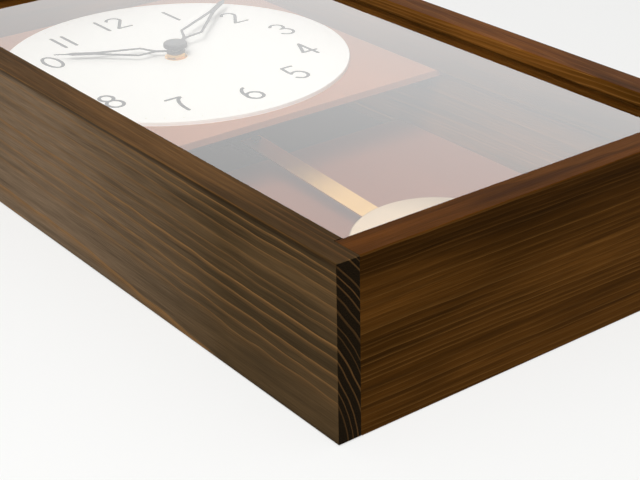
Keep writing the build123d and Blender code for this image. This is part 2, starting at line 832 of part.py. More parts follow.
arbor_shoulder_y = inner_back_y - rear_boss_height - wheel_gap
with BuildPart() as minute_arbor:
    turned(arbor_front_y, minute_gear_front_y, arbor_radius, z=dial_height)
    with BuildSketch(facing(minute_gear_back_y)):
        with Locations((0, dial_height)):
            tooth_ring(minute_pinion_teeth, minute_module, minute_pinion_phase)
    extrude(amount=pinion_thickness)
    turned(minute_gear_back_y, arbor_shoulder_y, arbor_rear_radius, z=dial_height)
    turned(arbor_shoulder_y, inner_back_y + movement_wall / 3, arbor_pivot_radius, z=dial_height)
finish(minute_arbor, "minute_arbor")

with BuildPart() as centre_wheel:
    with BuildSketch(facing(centre_wheel_back_y)):
        with Locations((0, dial_height)):
            tooth_ring(centre_wheel_teeth, centre_module, 0.0)
            Circle(arbor_rear_radius + press_gap, mode=Mode.SUBTRACT)
    extrude(amount=wheel_thickness)
finish(centre_wheel, "centre_wheel")

with BuildPart() as minute_wheel:
    with BuildSketch(facing(minute_wheel_back_y)):
        with Locations((minute_wheel_x, minute_wheel_z)):
            tooth_ring(minute_wheel_teeth, minute_module, minute_wheel_phase)
    extrude(amount=wheel_thickness)
    with BuildSketch(facing(minute_wheel_front_y)):
        with Locations((minute_wheel_x, minute_wheel_z)):
            tooth_ring(hour_pinion_teeth, hour_module, hour_pinion_phase)
    extrude(amount=minute_wheel_front_y - hour_wheel_front_y)
    turned(
        hour_wheel_front_y,
        minute_wheel_back_y,
        wheel_post_radius + running_gap,
        minute_wheel_x,
        minute_wheel_z,
        mode=Mode.SUBTRACT,
    )
finish(minute_wheel, "minute_wheel")

pipe_front_y = -hour_hand_front - part_gap
with BuildPart() as hour_wheel:
    with BuildSketch(facing(hour_wheel_back_y)):
        with Locations((0, dial_height)):
            tooth_ring(hour_wheel_teeth, hour_module, hour_wheel_phase)
    extrude(amount=wheel_thickness)
    turned(pipe_front_y, hour_wheel_back_y, hour_pipe_radius, z=dial_height)
    turned(pipe_front_y, hour_wheel_back_y, arbor_radius + running_gap, z=dial_height, mode=Mode.SUBTRACT)
finish(hour_wheel, "hour_wheel")

with BuildPart() as setting_knob:
    with BuildSketch(facing(minute_gear_back_y)):
        with Locations((knob_x, knob_z)):
            tooth_ring(knob_pinion_teeth, minute_module, knob_pinion_phase)
    extrude(amount=pinion_thickness)
    turned(minute_gear_back_y, movement_back_y + knob_rise, knob_shaft_radius, knob_x, knob_z)
    turned(
        minute_gear_front_y,
        minute_gear_back_y + wheel_gap,
        wheel_post_radius + running_gap,
        knob_x,
        knob_z,
        mode=Mode.SUBTRACT,
    )
    knob_back_y = movement_back_y + knob_rise + knob_thickness
    with BuildSketch(facing(knob_back_y)):
        with Locations((knob_x, knob_z)):
            Circle(knob_radius)
            with PolarLocations(knob_radius + knob_flute_radius / 2, knob_flutes):
                Circle(knob_flute_radius, mode=Mode.SUBTRACT)
    extrude(amount=knob_thickness)
finish(setting_knob, "setting_knob")

# Closed drive that turns the centre wheel, in its slot
drive_low_z = movement_low_z + movement_wall + drive_floor_gap
with BuildPart() as drive_block:
    block(
        (drive_left_x, minute_gear_back_y + part_gap, drive_low_z),
        (drive_left_x + drive_width, inner_back_y, drive_low_z + drive_height),
    )
    turned(
        centre_wheel_front_y - part_gap,
        centre_wheel_back_y + part_gap,
        centre_wheel_radius + centre_module + part_gap,
        z=dial_height,
        mode=Mode.SUBTRACT,
    )
finish(drive_block, "drive_block")

# Battery and its two contacts
with BuildPart() as battery:
    with BuildSketch(Plane.YZ.offset(-battery_length / 2)):
        with Locations((battery_y, battery_height)):
            Circle(battery_radius)
    extrude(amount=battery_length)
    fillet(battery.edges().filter_by(GeomType.CIRCLE), battery_edge)
    with BuildSketch(Plane.YZ.offset(battery_length / 2)):
        with Locations((battery_y, battery_height)):
            Circle(battery_nub_radius)
    extrude(amount=battery_nub_length)
finish(battery, "battery")

with BuildPart() as battery_terminals:
    for wall_x, end_x, contact_radius in (
        (-inner_movement_x, -battery_length / 2, battery_spring_radius),
        (inner_movement_x, battery_length / 2 + battery_nub_length, battery_nub_radius),
    ):
        inward = -1 if wall_x > 0 else 1
        with BuildSketch(Plane.YZ.offset(wall_x)):
            with Locations((battery_y, battery_height)):
                Rectangle(terminal_size, terminal_size)
        extrude(amount=inward * terminal_thickness)
        with BuildSketch(Plane.YZ.offset(end_x)):
            with Locations((battery_y, battery_height)):
                Circle(contact_radius)
        extrude(amount=wall_x - end_x)
finish(battery_terminals, "battery_terminals")

# Circuit and the coil that keeps the pendulum swinging
with BuildPart() as circuit_board:
    block(
        (-circuit_width / 2, circuit_front_y, circuit_low_z),
        (circuit_width / 2, circuit_back_y, circuit_low_z + circuit_height),
    )
finish(circuit_board, "circuit_board")

with BuildPart() as pendulum_coil:
    turned(circuit_back_y, circuit_back_y + coil_depth, coil_radius, z=magnet_z)
    winding_front_y = circuit_back_y + coil_flange
    winding_back_y = circuit_back_y + coil_depth - coil_flange
    turned(winding_front_y, winding_back_y, coil_radius, z=magnet_z, mode=Mode.SUBTRACT)
    turned(winding_front_y, winding_back_y, coil_radius - coil_flange_step, z=magnet_z)
finish(pendulum_coil, "pendulum_coil")

# Pendulum arm on its pin, with the magnet and the peg that the rod hangs on
with BuildPart() as pivot_pin:
    head_back_y = arm_front - part_gap
    turned(head_back_y, tower_back_y, pivot_pin_radius, z=arm_pivot_height)
    turned(head_back_y - pivot_head_thickness, head_back_y, pivot_head_radius, z=arm_pivot_height)
finish(pivot_pin, "pivot_pin")

with BuildPart() as pendulum_arm:
    with BuildSketch(facing(arm_back_y)):
        with Locations((0, arm_pivot_height)):
            Circle(arm_neck_width / 2 + 1)
        with Locations((0, arm_plate_top)):
            Rectangle(arm_neck_width, arm_pivot_height - arm_plate_top, align=(Align.CENTER, Align.MIN))
        with Locations((0, magnet_z)):
            Circle(magnet_radius + 1)
        with Locations((0, arm_bottom_height)):
            RectangleRounded(
                arm_width,
                arm_plate_height,
                arm_plate_corner,
                align=(Align.CENTER, Align.MIN),
            )
        with Locations((0, arm_pivot_height)):
            Circle(pivot_pin_radius + running_gap, mode=Mode.SUBTRACT)
    extrude(amount=arm_thickness)
    turned(arm_front - peg_reach, arm_front, peg_radius, z=hook_height)
    turned(arm_front - peg_reach - peg_head_thickness, arm_front - peg_reach, peg_head_radius, z=hook_height)
finish(pendulum_arm, "pendulum_arm")

with BuildPart() as arm_magnet:
    turned(arm_front - magnet_depth, arm_front, magnet_radius, z=magnet_z)
finish(arm_magnet, "arm_magnet")

# Rod and bob, drawn on the plane that leans back from the peg
lean = radians(lean_angle)
hang = Plane(origin=(0, hook_depth, hook_height), x_dir=(1, 0, 0), z_dir=(0, -cos(lean), -sin(lean)))
bob_centre_y = hook_depth + bob_distance * sin(lean)
nut_reach = (shoulder_y - rest_gap - bob_centre_y - bob_nut_radius * sin(lean)) / cos(lean)

with BuildPart() as pendulum_rod:
    with BuildSketch(hang.offset(-rod_thickness / 2)):
        rod_length = rod_above_peg + bob_distance + rod_past_bob_centre
        with Locations((0, rod_above_peg)):
            Rectangle(rod_width, rod_length, align=(Align.CENTER, Align.MAX))
        Circle(peg_radius + peg_play, mode=Mode.SUBTRACT)
        with Locations((0, -bob_distance)):
            Circle(bob_stud_radius + press_gap, mode=Mode.SUBTRACT)
    extrude(amount=rod_thickness)
finish(pendulum_rod, "pendulum_rod")

bob_plane = hang.shift_origin(hang.from_local_coords(Vector(0, -bob_distance, 0)))
rod_half = rod_thickness / 2
dome_top = bob_rim_depth + bob_dome
dome_edge = bob_radius - bob_rim_radius
dome_middle = dome_edge / 2
dome_curve = (dome_edge**2 + bob_dome**2) / (2 * bob_dome)
dome_drop = dome_curve - (dome_curve**2 - dome_middle**2) ** 0.5
with BuildPart() as bob_shell:
    # half section: radius across, depth towards the viewer up
    with BuildSketch(Plane(origin=bob_plane.origin, x_dir=bob_plane.x_dir, z_dir=-bob_plane.y_dir)):
        with BuildLine():
            Polyline(
                (0, dome_top - bob_wall),
                (0, dome_top),
            )
            dome = ThreePointArc(
                (0, dome_top),
                (dome_middle, dome_top - dome_drop),
                (dome_edge, bob_rim_depth),
            )
            rim_turn = TangentArc(
                dome @ 1,
                (bob_radius, bob_rim_depth - bob_rim_radius),
                tangent=(dome_curve, -dome_edge),
            )
            Polyline(
                rim_turn @ 1,
                (bob_radius, rod_half),
                (bob_radius - bob_wall, rod_half),
                (bob_radius - bob_wall, bob_rim_depth - bob_rim_radius),
                (dome_edge, bob_rim_depth - bob_wall),
            )
            ThreePointArc(
                (dome_edge, bob_rim_depth - bob_wall),
                (dome_middle, dome_top - dome_drop - bob_wall),
                (0, dome_top - bob_wall),
            )
        make_face()
    revolve(axis=Axis(bob_plane.origin, -bob_plane.z_dir))
finish(bob_shell, "bob_shell")

with BuildPart() as bob_back_plate:
    with BuildSketch(bob_plane.offset(rod_half)):
        Circle(bob_radius - bob_wall - glue_gap)
    extrude(amount=bob_plate_thickness)
    with BuildSketch(bob_plane.offset(rod_half)):
        Circle(bob_stud_radius)
    extrude(amount=bob_stud_tip_gap - rod_thickness - bob_nut_bore_depth)
finish(bob_back_plate, "bob_back_plate")

with BuildPart() as bob_nut:
    with BuildSketch(bob_plane.offset(-rod_half)):
        Circle(bob_nut_radius)
        with PolarLocations(bob_nut_radius + knob_flute_radius / 2, knob_flutes):
            Circle(knob_flute_radius, mode=Mode.SUBTRACT)
    extrude(amount=-nut_reach + rod_half)
    with BuildSketch(bob_plane.offset(-rod_half)):
        Circle(bob_stud_radius + press_gap)
    extrude(amount=-bob_nut_bore_depth, mode=Mode.SUBTRACT)
finish(bob_nut, "bob_nut")

# Back panel, its screws, and the rail and keyhole plate that the clock hangs by
with BuildPart() as back_panel:
    block(
        (-rebate_x + panel_clearance, shoulder_y, rebate_low_z + panel_clearance),
        (rebate_x - panel_clearance, panel_back_y, back_panel_top),
    )
    screw_holes(back_screws, small_screw_length, small_head_radius)
finish(back_panel, "back_panel")

with BuildPart() as back_panel_screws:
    screw_bodies(back_screws, small_screw_length, small_head_radius, panel_slot_turn)
finish(back_panel_screws, "back_panel_screws")

recess_half_width = plate_width / 2 + panel_clearance
recess_half_height = plate_height / 2 + panel_clearance
with BuildPart() as hanging_rail:
    block(
        (-rebate_x + panel_clearance, shoulder_y, rail_low_z),
        (rebate_x - panel_clearance, half_depth, rail_high_z),
    )
    block(
        (-recess_half_width, half_depth - plate_thickness, plate_z - recess_half_height),
        (recess_half_width, half_depth, plate_z + recess_half_height),
        mode=Mode.SUBTRACT,
    )
    block(
        (-pocket_width / 2, half_depth - plate_thickness - pocket_depth, plate_z - plate_height / 2),
        (pocket_width / 2, half_depth - plate_thickness, plate_z + plate_height / 2),
        mode=Mode.SUBTRACT,
    )
    screw_holes(plate_screws, plate_screw_length, small_head_radius)
finish(hanging_rail, "hanging_rail")

with BuildPart() as hanger_plate:
    with BuildSketch(facing(half_depth)):
        with Locations((0, plate_z)):
            RectangleRounded(plate_width, plate_height, plate_corner)
        with Locations((0, plate_z - keyhole_drop)):
            Circle(keyhole_radius, mode=Mode.SUBTRACT)
            Rectangle(
                keyhole_slot_width,
                keyhole_slot_rise,
                align=(Align.CENTER, Align.MIN),
                mode=Mode.SUBTRACT,
            )
        with Locations((0, plate_z - keyhole_drop + keyhole_slot_rise)):
            Circle(keyhole_slot_width / 2, mode=Mode.SUBTRACT)
    extrude(amount=plate_thickness)
    screw_holes(plate_screws, plate_screw_length, small_head_radius)
finish(hanger_plate, "hanger_plate")

with BuildPart() as hanger_screws:
    screw_bodies(plate_screws, plate_screw_length, small_head_radius, plate_slot_turn)
finish(hanger_screws, "hanger_screws")
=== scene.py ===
import json
import math

import bmesh
import bpy
from bpy.props import FloatProperty, FloatVectorProperty, PointerProperty
from mathutils import Matrix, Vector


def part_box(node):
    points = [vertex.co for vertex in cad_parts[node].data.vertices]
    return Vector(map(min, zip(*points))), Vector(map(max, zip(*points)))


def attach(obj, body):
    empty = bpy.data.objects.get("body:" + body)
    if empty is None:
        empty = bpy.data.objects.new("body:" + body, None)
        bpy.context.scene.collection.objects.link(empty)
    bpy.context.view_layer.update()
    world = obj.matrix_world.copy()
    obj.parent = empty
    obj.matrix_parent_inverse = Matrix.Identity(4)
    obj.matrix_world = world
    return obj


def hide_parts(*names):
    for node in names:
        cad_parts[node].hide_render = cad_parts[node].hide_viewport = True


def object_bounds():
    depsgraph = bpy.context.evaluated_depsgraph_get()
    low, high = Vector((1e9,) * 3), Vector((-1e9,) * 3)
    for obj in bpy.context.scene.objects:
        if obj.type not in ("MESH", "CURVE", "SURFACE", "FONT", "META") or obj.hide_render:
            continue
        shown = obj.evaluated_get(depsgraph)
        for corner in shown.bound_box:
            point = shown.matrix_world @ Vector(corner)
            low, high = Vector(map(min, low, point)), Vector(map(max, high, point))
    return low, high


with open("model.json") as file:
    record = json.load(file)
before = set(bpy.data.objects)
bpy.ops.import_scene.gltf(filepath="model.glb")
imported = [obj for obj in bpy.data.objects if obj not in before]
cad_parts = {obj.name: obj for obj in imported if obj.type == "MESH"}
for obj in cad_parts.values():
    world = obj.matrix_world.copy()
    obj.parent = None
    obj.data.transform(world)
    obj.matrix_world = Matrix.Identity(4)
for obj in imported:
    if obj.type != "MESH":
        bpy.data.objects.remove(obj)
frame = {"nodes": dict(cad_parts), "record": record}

bl_info = {
    "name": "Pendulum clock",
    "version": (1, 0, 0),
    "blender": (4, 5, 0),
    "location": "3D View > Sidebar > Clock",
    "description": "Dresses the frame of a wooden pendulum clock and sets its stage",
    "category": "Object",
}

# A millimetre in Blender's metres
MM = 0.001
CAD_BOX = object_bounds()
CASE_LOW, CASE_HIGH = CAD_BOX
DIAL_LOW, DIAL_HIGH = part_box("dial_plate")
DIAL_CENTRE = (DIAL_LOW + DIAL_HIGH) / 2
HOURS = 12
MINUTES = 60
# Spacing of the fine lines along each axis, in millimetres, on turned and on rolled metal
TURNED_LINES = (0.3, 4, 0.3)
PLATE_LINES = (6, 0.4, 0.4)
SCREW_LINES = (3, 0.3, 0.3)
ROD_LINES = (0.4, 0.4, 30)
# Points of a mesh closer than this, in metres, are one point
MERGE = 1e-6
JOINTS = {joint["name"]: joint for joint in frame["record"]["behaviour"]["joints"]}

# The pendulum leans back from its hook by this much, as in the frame
ROD_LEAN = math.radians(3.55)
BOB_PLATE_LOW, BOB_PLATE_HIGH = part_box("bob_back_plate")
BOB_RADIUS = (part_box("bob_shell")[1].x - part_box("bob_shell")[0].x) / 2

# Where the camera stood and how it was turned, fitted to the edges of the case
CAMERA_PLACE = (-0.473275, -0.338901, -0.450639)
CAMERA_RIGHT = (0.79644428, 0.01848647, -0.60442928)
CAMERA_UP = (0.28290943, -0.89479015, 0.3454169)
CAMERA_BACK = (-0.53445183, -0.44610406, -0.7178805)
CAMERA_LENS = 86.649

# How far the points turn, so that a board's length along X, or along Z, becomes the wood's own Z
GRAIN_ALONG_X = Matrix(((0, 1, 0), (0, 0, 1), (1, 0, 0))).to_euler("XYZ")
GRAIN_ALONG_Z = Matrix.Identity(3).to_euler("XYZ")


def linear(code):
    """An sRGB hex colour as linear red, green and blue."""
    parts = [int(code[i:i + 2], 16) / 255 for i in (0, 2, 4)]
    return tuple(c / 12.92 if c <= 0.04045 else ((c + 0.055) / 1.055) ** 2.4 for c in parts)


def colour(name, description, code):
    """A colour that the user can change."""
    return FloatVectorProperty(
        name=name, description=description, subtype="COLOR", size=3, min=0, max=1, default=linear(code)
    )


def length(name, description, millimetres):
    """A length that the user can change."""
    return FloatProperty(
        name=name, description=description, subtype="DISTANCE", unit="LENGTH", default=millimetres * MM
    )


def gain(name, description, times):
    """A strength or a factor that the user can change."""
    return FloatProperty(name=name, description=description, subtype="FACTOR", default=times, min=0, max=8)


class ClockSizes(bpy.types.PropertyGroup):
    """Sizes of what is printed on the dial and of the stage."""

    numeral_height: length("Numeral height", "Height of the dial's numbers", 23.0)
    numeral_width: length("Numeral width", "Width of a round number such as 0", 12.0)
    numeral_stroke: length("Numeral stroke", "Line width of the numbers", 2.4)
    numeral_ring: length("Numeral ring", "Distance of the numbers from the dial's centre", 81.0)
    dot_ring: length("Minute ring", "Distance of the minute dots from the dial's centre", 102.0)
    dot_width: length("Minute dot", "Width of a minute dot", 0.9)
    print_height: length("Print height", "How far the print stands off the dial", 0.03)
    bob_rim: length("Bob rim", "Depth of the bob's side wall", 10.0)
    bob_dome: length("Bob dome", "How far the bob's middle stands out from its rim", 3.5)
    bob_rounding: length("Bob edge", "Radius of the bob's rounded edge", 1.5)
    floor_glow: gain("Floor glow", "How brightly the pale floor glows by itself", 0.58)
    wall_glow: gain("Wall glow", "Brightness of the wall that the glass mirrors", 1.58)
    wall_slope: gain("Wall slope", "How much brighter that wall gets to the right", 1.4)


class ClockColours(bpy.types.PropertyGroup):
    """Colours of the clock's finishes."""

    side_dark: colour("Side, soaked wood", "Stain where the soft wood soaked it up", "41331F")
    side_light: colour("Side, thin stain", "Stain where the wood stayed lighter", "604A2F")
    side_ring: colour("Side, hard lines", "Hard lines of the growth rings", "966D40")
    base_dark: colour("Base, soaked wood", "Stain where the soft wood soaked it up", "432808")
    base_light: colour("Base, thin stain", "Stain where the wood stayed lighter", "684116")
    base_ring: colour("Base, hard lines", "Hard lines of the growth rings", "8C612E")
    # Painted light: the right board is the base wood drawn lighter, for the stronger light on the right wall
    right_gain: gain("Right board gain", "How many times lighter the right board is", 1.35)
    end_grain: colour("End grain", "Wood's end, which soaks up most stain", "120C07")
    board: colour("Dial board", "Stained board behind the dial", "AA6E4A")
    back: colour("Back panel", "Stained board at the back", "96583A")
    dial: colour("Dial", "Card of the dial", "FBF9F4")
    ink: colour("Print", "Ink of the numbers", "1E2022")
    dot_ink: colour("Dots", "Ink of the minute dots", "9B9B98")
    hand: colour("Hands", "Black paint of the hands", "0B0B0C")
    brass: colour("Brass", "Turned brass of the hub", "D9A85A")
    rod: colour("Rod", "Lacquered brass of the rod", "D9AE62")
    bob: colour("Bob", "Champagne brass of the bob", "D9C09E")
    plastic: colour("Black plastic", "Moulded movement case", "17181A")
    floor: colour("Floor", "Pale floor and backdrop", "A0A09F")


def settings():
    """The sizes and the colours, as the user left them."""
    scene = bpy.context.scene
    return scene.clock_sizes, scene.clock_colours


def shade(tone, share):
    """The same tone, darker or lighter, and no brighter than white."""
    return tuple(min(part * share, 1.0) for part in tone)


def per_cell(*sizes):
    """A pattern's scale along each axis, from the size of its cells in millimetres."""
    return tuple(1 / size for size in sizes)


def fill(node, *inputs, **named):
    """Fills a node's sockets, in their order or by name, with values or with other nodes."""
    sockets = [socket for socket in node.inputs if socket.enabled]
    pairs = list(zip(sockets, inputs))
    pairs += [(node.inputs[key.replace("_", " ")], value) for key, value in named.items()]
    for socket, value in pairs:
        if isinstance(value, bpy.types.Node):
            value = next(output for output in value.outputs if output.enabled)
        if isinstance(value, bpy.types.NodeSocket):
            node.id_data.links.new(value, socket)
        elif socket.type == "RGBA" and len(value) == 3:
            socket.default_value = (*value, 1.0)
        else:
            socket.default_value = value


def add(tree, kind, *inputs, stops=(), steps=False, **named):
    """Adds a node with its links. Names in small letters are its settings, others its sockets. A
    ramp's stops are pairs of a place and a grey or a colour, and steps keeps each up to the next."""
    node = tree.nodes.new("ShaderNode" + kind)
    if steps:
        node.color_ramp.interpolation = "CONSTANT"
    for key, value in named.items():
        if key.islower():
            setattr(node, key, value)
    for index, (place, value) in enumerate(stops):
        elements = node.color_ramp.elements
        element = elements[index] if index < len(elements) else elements.new(place)
        element.position = place
        element.color = (*value, 1.0) if isinstance(value, tuple) else (value, value, value, 1.0)
    fill(node, *inputs, **{key: value for key, value in named.items() if not key.islower()})
    return node


def new_material(name):
    """A material, its nodes and its surface shader."""
    material = bpy.data.materials.new(name)
    material.use_nodes = True
    tree = material.node_tree
    return material, tree, tree.nodes["Principled BSDF"]


def millimetre_points(tree, grain=GRAIN_ALONG_Z, centre=(0, 0, 0)):
    """Places on the piece in millimetres, with the grain along Z and the centre moved to zero."""
    place = add(tree, "TexCoord").outputs["Object"]
    turned = {"Rotation": grain, "Scale": (1 / MM,) * 3, "Location": tuple(-part for part in centre)}
    return add(tree, "Mapping", place, **turned)


def stained_softwood(
    name, tones, grain, pith, ring, taper, sway, line, streak=0.0, dark_edge=None, painted_sheen=None
):
    """Flat- or quarter-sawn softwood, planed, dark stained and satin lacquered: the soft part of each
    ring soaks the stain up, and the hard part stays as a thin amber line. Tones are those of soaked
    wood, thin stain, hard lines and end grain. In millimetres, pith is where the log's heart lay, ring
    is the ring spacing and sway how far the rings wander. Line says how strongly they show, streak how
    dark the soaked streaks are, and the last two say where the wood is drawn darker along an edge,
    partly as painted shade, and how far up and how strongly the outer side face is drawn lighter, as a
    painted reflection."""
    dark, light, amber, end_tone = tones
    material, tree, shader = new_material(name)
    upright = add(tree, "SeparateXYZ", millimetre_points(tree))
    points = millimetre_points(tree, grain, (*pith, 0))
    facing = add(tree, "SeparateXYZ", add(tree, "TexCoord").outputs["Normal"])

    # The cells of each pattern in millimetres, its detail and its roughness. Real fibres and pores
    # are finer, and wouldn't show
    patterns = {
        "wander": ((60, 60, 190), 1.0, 0.5),
        "kinks": ((14, 14, 26), 1.0, 0.5),
        "fibre": ((0.5, 0.5, 22), 3.0, 0.5),
        "blotch": ((26, 26, 130), 2.0, 0.5),
        "soaked": ((5, 5, 160), 3.0, 0.6),
        "pores": ((0.45, 0.45, 0.45), 2.0, 0.5),
    }
    patch = {}
    for key, (cell, detail, roughness) in patterns.items():
        places = add(tree, "VectorMath", points, per_cell(*cell), operation="MULTIPLY")
        patch[key] = add(tree, "TexNoise", places, Scale=1.0, Detail=detail, Roughness=roughness)

    # Rings: the distance from the pith, bent slowly along the board and kinked in places
    kink = 1.1
    bent = points
    for key, reach in (("wander", sway), ("kinks", kink)):
        way = patch[key].outputs["Color"]
        bent = add(tree, "VectorMath", way, (reach, reach, 0), bent, operation="MULTIPLY_ADD")
    across = add(tree, "VectorMath", bent, (1, 1, 0), operation="MULTIPLY")
    radius = add(tree, "VectorMath", across, operation="LENGTH")
    along = add(tree, "SeparateXYZ", points).outputs["Z"]
    tapered = add(tree, "Math", along, -taper, radius, operation="MULTIPLY_ADD")
    good_years = 4 * ring
    uneven = 2.6
    spell = add(tree, "Math", tapered, good_years, operation="DIVIDE")
    seasons = add(tree, "TexNoise", spell, Scale=1.0, Detail=1.0, noise_dimensions="1D")
    even = add(tree, "Math", tapered, ring, operation="DIVIDE")
    count = add(tree, "Math", seasons, uneven, even, operation="MULTIPLY_ADD")
    season = add(tree, "Math", count, operation="FRACT")
    hard_part = [(0.0, 0.0), (0.55, 0.0), (0.84, 0.4), (0.95, 1.0), (1.0, 0.0)]
    late = add(tree, "ValToRGB", season, stops=hard_part)
    year = add(tree, "Math", count, operation="FLOOR")
    chance = add(tree, "TexWhiteNoise", year, noise_dimensions="1D").outputs["Value"]
    weakest = 0.35
    strength = add(tree, "Math", chance, 1 - weakest, weakest, operation="MULTIPLY_ADD")

    # Ground: blotches of thin and deep stain, and a painted reflection that draws the outer side face lighter
    # towards the top
    blotched = add(tree, "ValToRGB", patch["blotch"], stops=[(0.32, 0.0), (0.68, 1.0)])
    ground = add(tree, "Mix", blotched, dark, light, data_type="RGBA")
    # Painted reflection: a lighter tone mixed in by height on the faces that look sideways
    if painted_sheen:
        reach, share = painted_sheen
        height = add(tree, "Math", upright.outputs["Z"], reach, operation="DIVIDE")
        sheen_share = add(tree, "ValToRGB", height, stops=[(0.35, 0.0), (1.0, share)])
        outward = add(tree, "Math", facing.outputs["X"], operation="ABSOLUTE")
        sheen_share = add(tree, "Math", sheen_share, outward, operation="MULTIPLY")
        pale = tuple(part * 1.6 + 0.05 for part in light)
        ground = add(tree, "Mix", sheen_share, ground, pale, data_type="RGBA")
    streaks = add(tree, "ValToRGB", patch["soaked"], stops=[(0.46, 0.0), (0.66, streak)])
    ground = add(tree, "Mix", streaks, ground, shade(dark, 0.28), data_type="RGBA")

    # Hard lines, fainter on the planed front edge
    turned = 0.8
    on_front = add(tree, "Math", facing.outputs["Y"], -turned, operation="LESS_THAN")
    lines = add(tree, "Math", late, strength, operation="MULTIPLY")
    lines = add(tree, "Math", lines, line, operation="MULTIPLY")
    fainter = add(tree, "Math", on_front, -0.6, 1.0, operation="MULTIPLY_ADD")
    lines = add(tree, "Math", lines, fainter, operation="MULTIPLY")
    wood = add(tree, "Mix", lines, ground, amber, data_type="RGBA")

    # End grain: dark pores with the rings as arcs
    board_way = facing.outputs["X" if grain is GRAIN_ALONG_X else "Z"]
    board_way = add(tree, "Math", board_way, operation="ABSOLUTE")
    on_end = add(tree, "Math", board_way, turned, operation="GREATER_THAN")
    arc_part = [(0.0, 0.0), (0.74, 0.0), (0.86, 0.85), (0.96, 0.85), (1.0, 0.0)]
    arcs = add(tree, "ValToRGB", season, stops=arc_part)
    softer = add(tree, "Math", strength, 0.8, operation="MULTIPLY")
    arcs = add(tree, "Math", arcs, softer, operation="MULTIPLY")
    porous = add(tree, "ValToRGB", patch["pores"], stops=[(0.35, 0.0), (0.7, 1.0)])
    end = add(tree, "Mix", porous, end_tone, shade(dark, 0.5), data_type="RGBA")
    end = add(tree, "Mix", arcs, end, shade(amber, 0.75), data_type="RGBA")
    wood = add(tree, "Mix", on_end, wood, end, data_type="RGBA")

    # The planed front edge took the stain redder, and fine fibres run through it all
    edge_tint = (0.92, 0.77, 0.58)
    wood = add(tree, "Mix", on_front, wood, edge_tint, data_type="RGBA", blend_type="MULTIPLY")
    threads = add(tree, "ValToRGB", patch["fibre"], stops=[(0.3, 0.74), (0.7, 1.2)])
    wood = add(tree, "Mix", 1.0, wood, threads, data_type="RGBA", blend_type="MULTIPLY")
    # Darker along an edge: a dark line on the left panel, and painted shade on the base along its front arris
    if dark_edge:
        corner, reach, darkest = dark_edge
        near = 0.0
        for axis, edge in corner.items():
            gap = add(tree, "Math", upright.outputs[axis], edge, operation="SUBTRACT")
            gap = add(tree, "Math", gap, operation="ABSOLUTE")
            near = add(tree, "Math", gap, near, operation="ADD")
        near = add(tree, "Math", near, reach, operation="DIVIDE")
        edge_darkening = add(tree, "ValToRGB", near, stops=[(0.25, darkest), (0.9, 1.0)])
        behind = add(tree, "Math", 1.0, on_front, operation="SUBTRACT")
        wood = add(tree, "Mix", behind, wood, edge_darkening, data_type="RGBA", blend_type="MULTIPLY")
    sheen = add(tree, "ValToRGB", patch["fibre"], stops=[(0.3, 0.5), (0.7, 0.36)])
    height = add(tree, "Math", late, 0.35, patch["fibre"], operation="MULTIPLY_ADD")
    relief = add(tree, "Bump", Height=height, Distance=0.12 * MM, Strength=0.35)
    fill(shader, IOR=1.5, Specular_IOR_Level=0.01, Base_Color=wood, Roughness=sheen, Normal=relief)
    return material


def stained_board(name, tone):
    """Fibreboard with a smooth reddish stain: even colour, fine felted speckle, matt."""
    material, tree, shader = new_material(name)
    points = millimetre_points(tree)
    drift = add(tree, "VectorMath", points, per_cell(30, 30, 60), operation="MULTIPLY")
    cloud = add(tree, "TexNoise", drift, Scale=1.0, Detail=3.0)
    fibres = add(tree, "VectorMath", points, per_cell(0.8, 0.8, 1.6), operation="MULTIPLY")
    felt = add(tree, "TexNoise", fibres, Scale=1.0, Detail=2.0)
    ground = add(tree, "Mix", cloud, shade(tone, 0.86), shade(tone, 1.12), data_type="RGBA")
    specks = add(tree, "ValToRGB", felt, stops=[(0.3, 0.9), (0.7, 1.06)])
    speckled = add(tree, "Mix", 1.0, ground, specks, data_type="RGBA", blend_type="MULTIPLY")
    sheen = add(tree, "ValToRGB", felt, stops=[(0.3, 0.62), (0.7, 0.5)])
    relief = add(tree, "Bump", Height=felt, Distance=0.05 * MM, Strength=0.3)
    fill(shader, IOR=1.48, Specular_IOR_Level=0.1, Base_Color=speckled, Roughness=sheen, Normal=relief)
    return material


def window_glass(name):
    """Float glass, drawn flat and polished: clear and colourless, with a mirror that grows at low
    angles. Its outer face mirrors for both, since light isn't bent on its way to the dial."""
    material, tree, shader = new_material(name)
    tree.nodes.remove(shader)
    low_angle = add(tree, "Fresnel", IOR=1.52)
    inside = add(tree, "NewGeometry").outputs["Backfacing"]
    outside = add(tree, "Math", 1.0, inside, operation="SUBTRACT")
    share = add(tree, "Math", low_angle, outside, operation="MULTIPLY")
    both_faces = 1.8
    share = add(tree, "Math", share, both_faces, operation="MULTIPLY")
    clear = add(tree, "BsdfTransparent", Color=(0.985, 0.985, 0.98))
    mirror = add(tree, "BsdfAnisotropic", Color=(1, 1, 1), Roughness=0.0)
    fill(tree.nodes["Material Output"], add(tree, "MixShader", share, clear, mirror))
    return material


def printed_card(name, tone):
    """Coated card glued to a disc: near white, matt, with a trace of paper tooth, which is drawn
    coarser than real so that it shows."""
    material, tree, shader = new_material(name)
    fine = add(tree, "VectorMath", millimetre_points(tree), per_cell(0.4, 0.4, 0.4), operation="MULTIPLY")
    tooth = add(tree, "TexNoise", fine, Scale=1.0, Detail=2.0)
    paper = add(tree, "Mix", tooth, shade(tone, 0.985), tone, data_type="RGBA")
    relief = add(tree, "Bump", Height=tooth, Distance=0.02 * MM, Strength=0.2)
    fill(shader, Roughness=0.6, IOR=1.45, Base_Color=paper, Normal=relief)
    return material


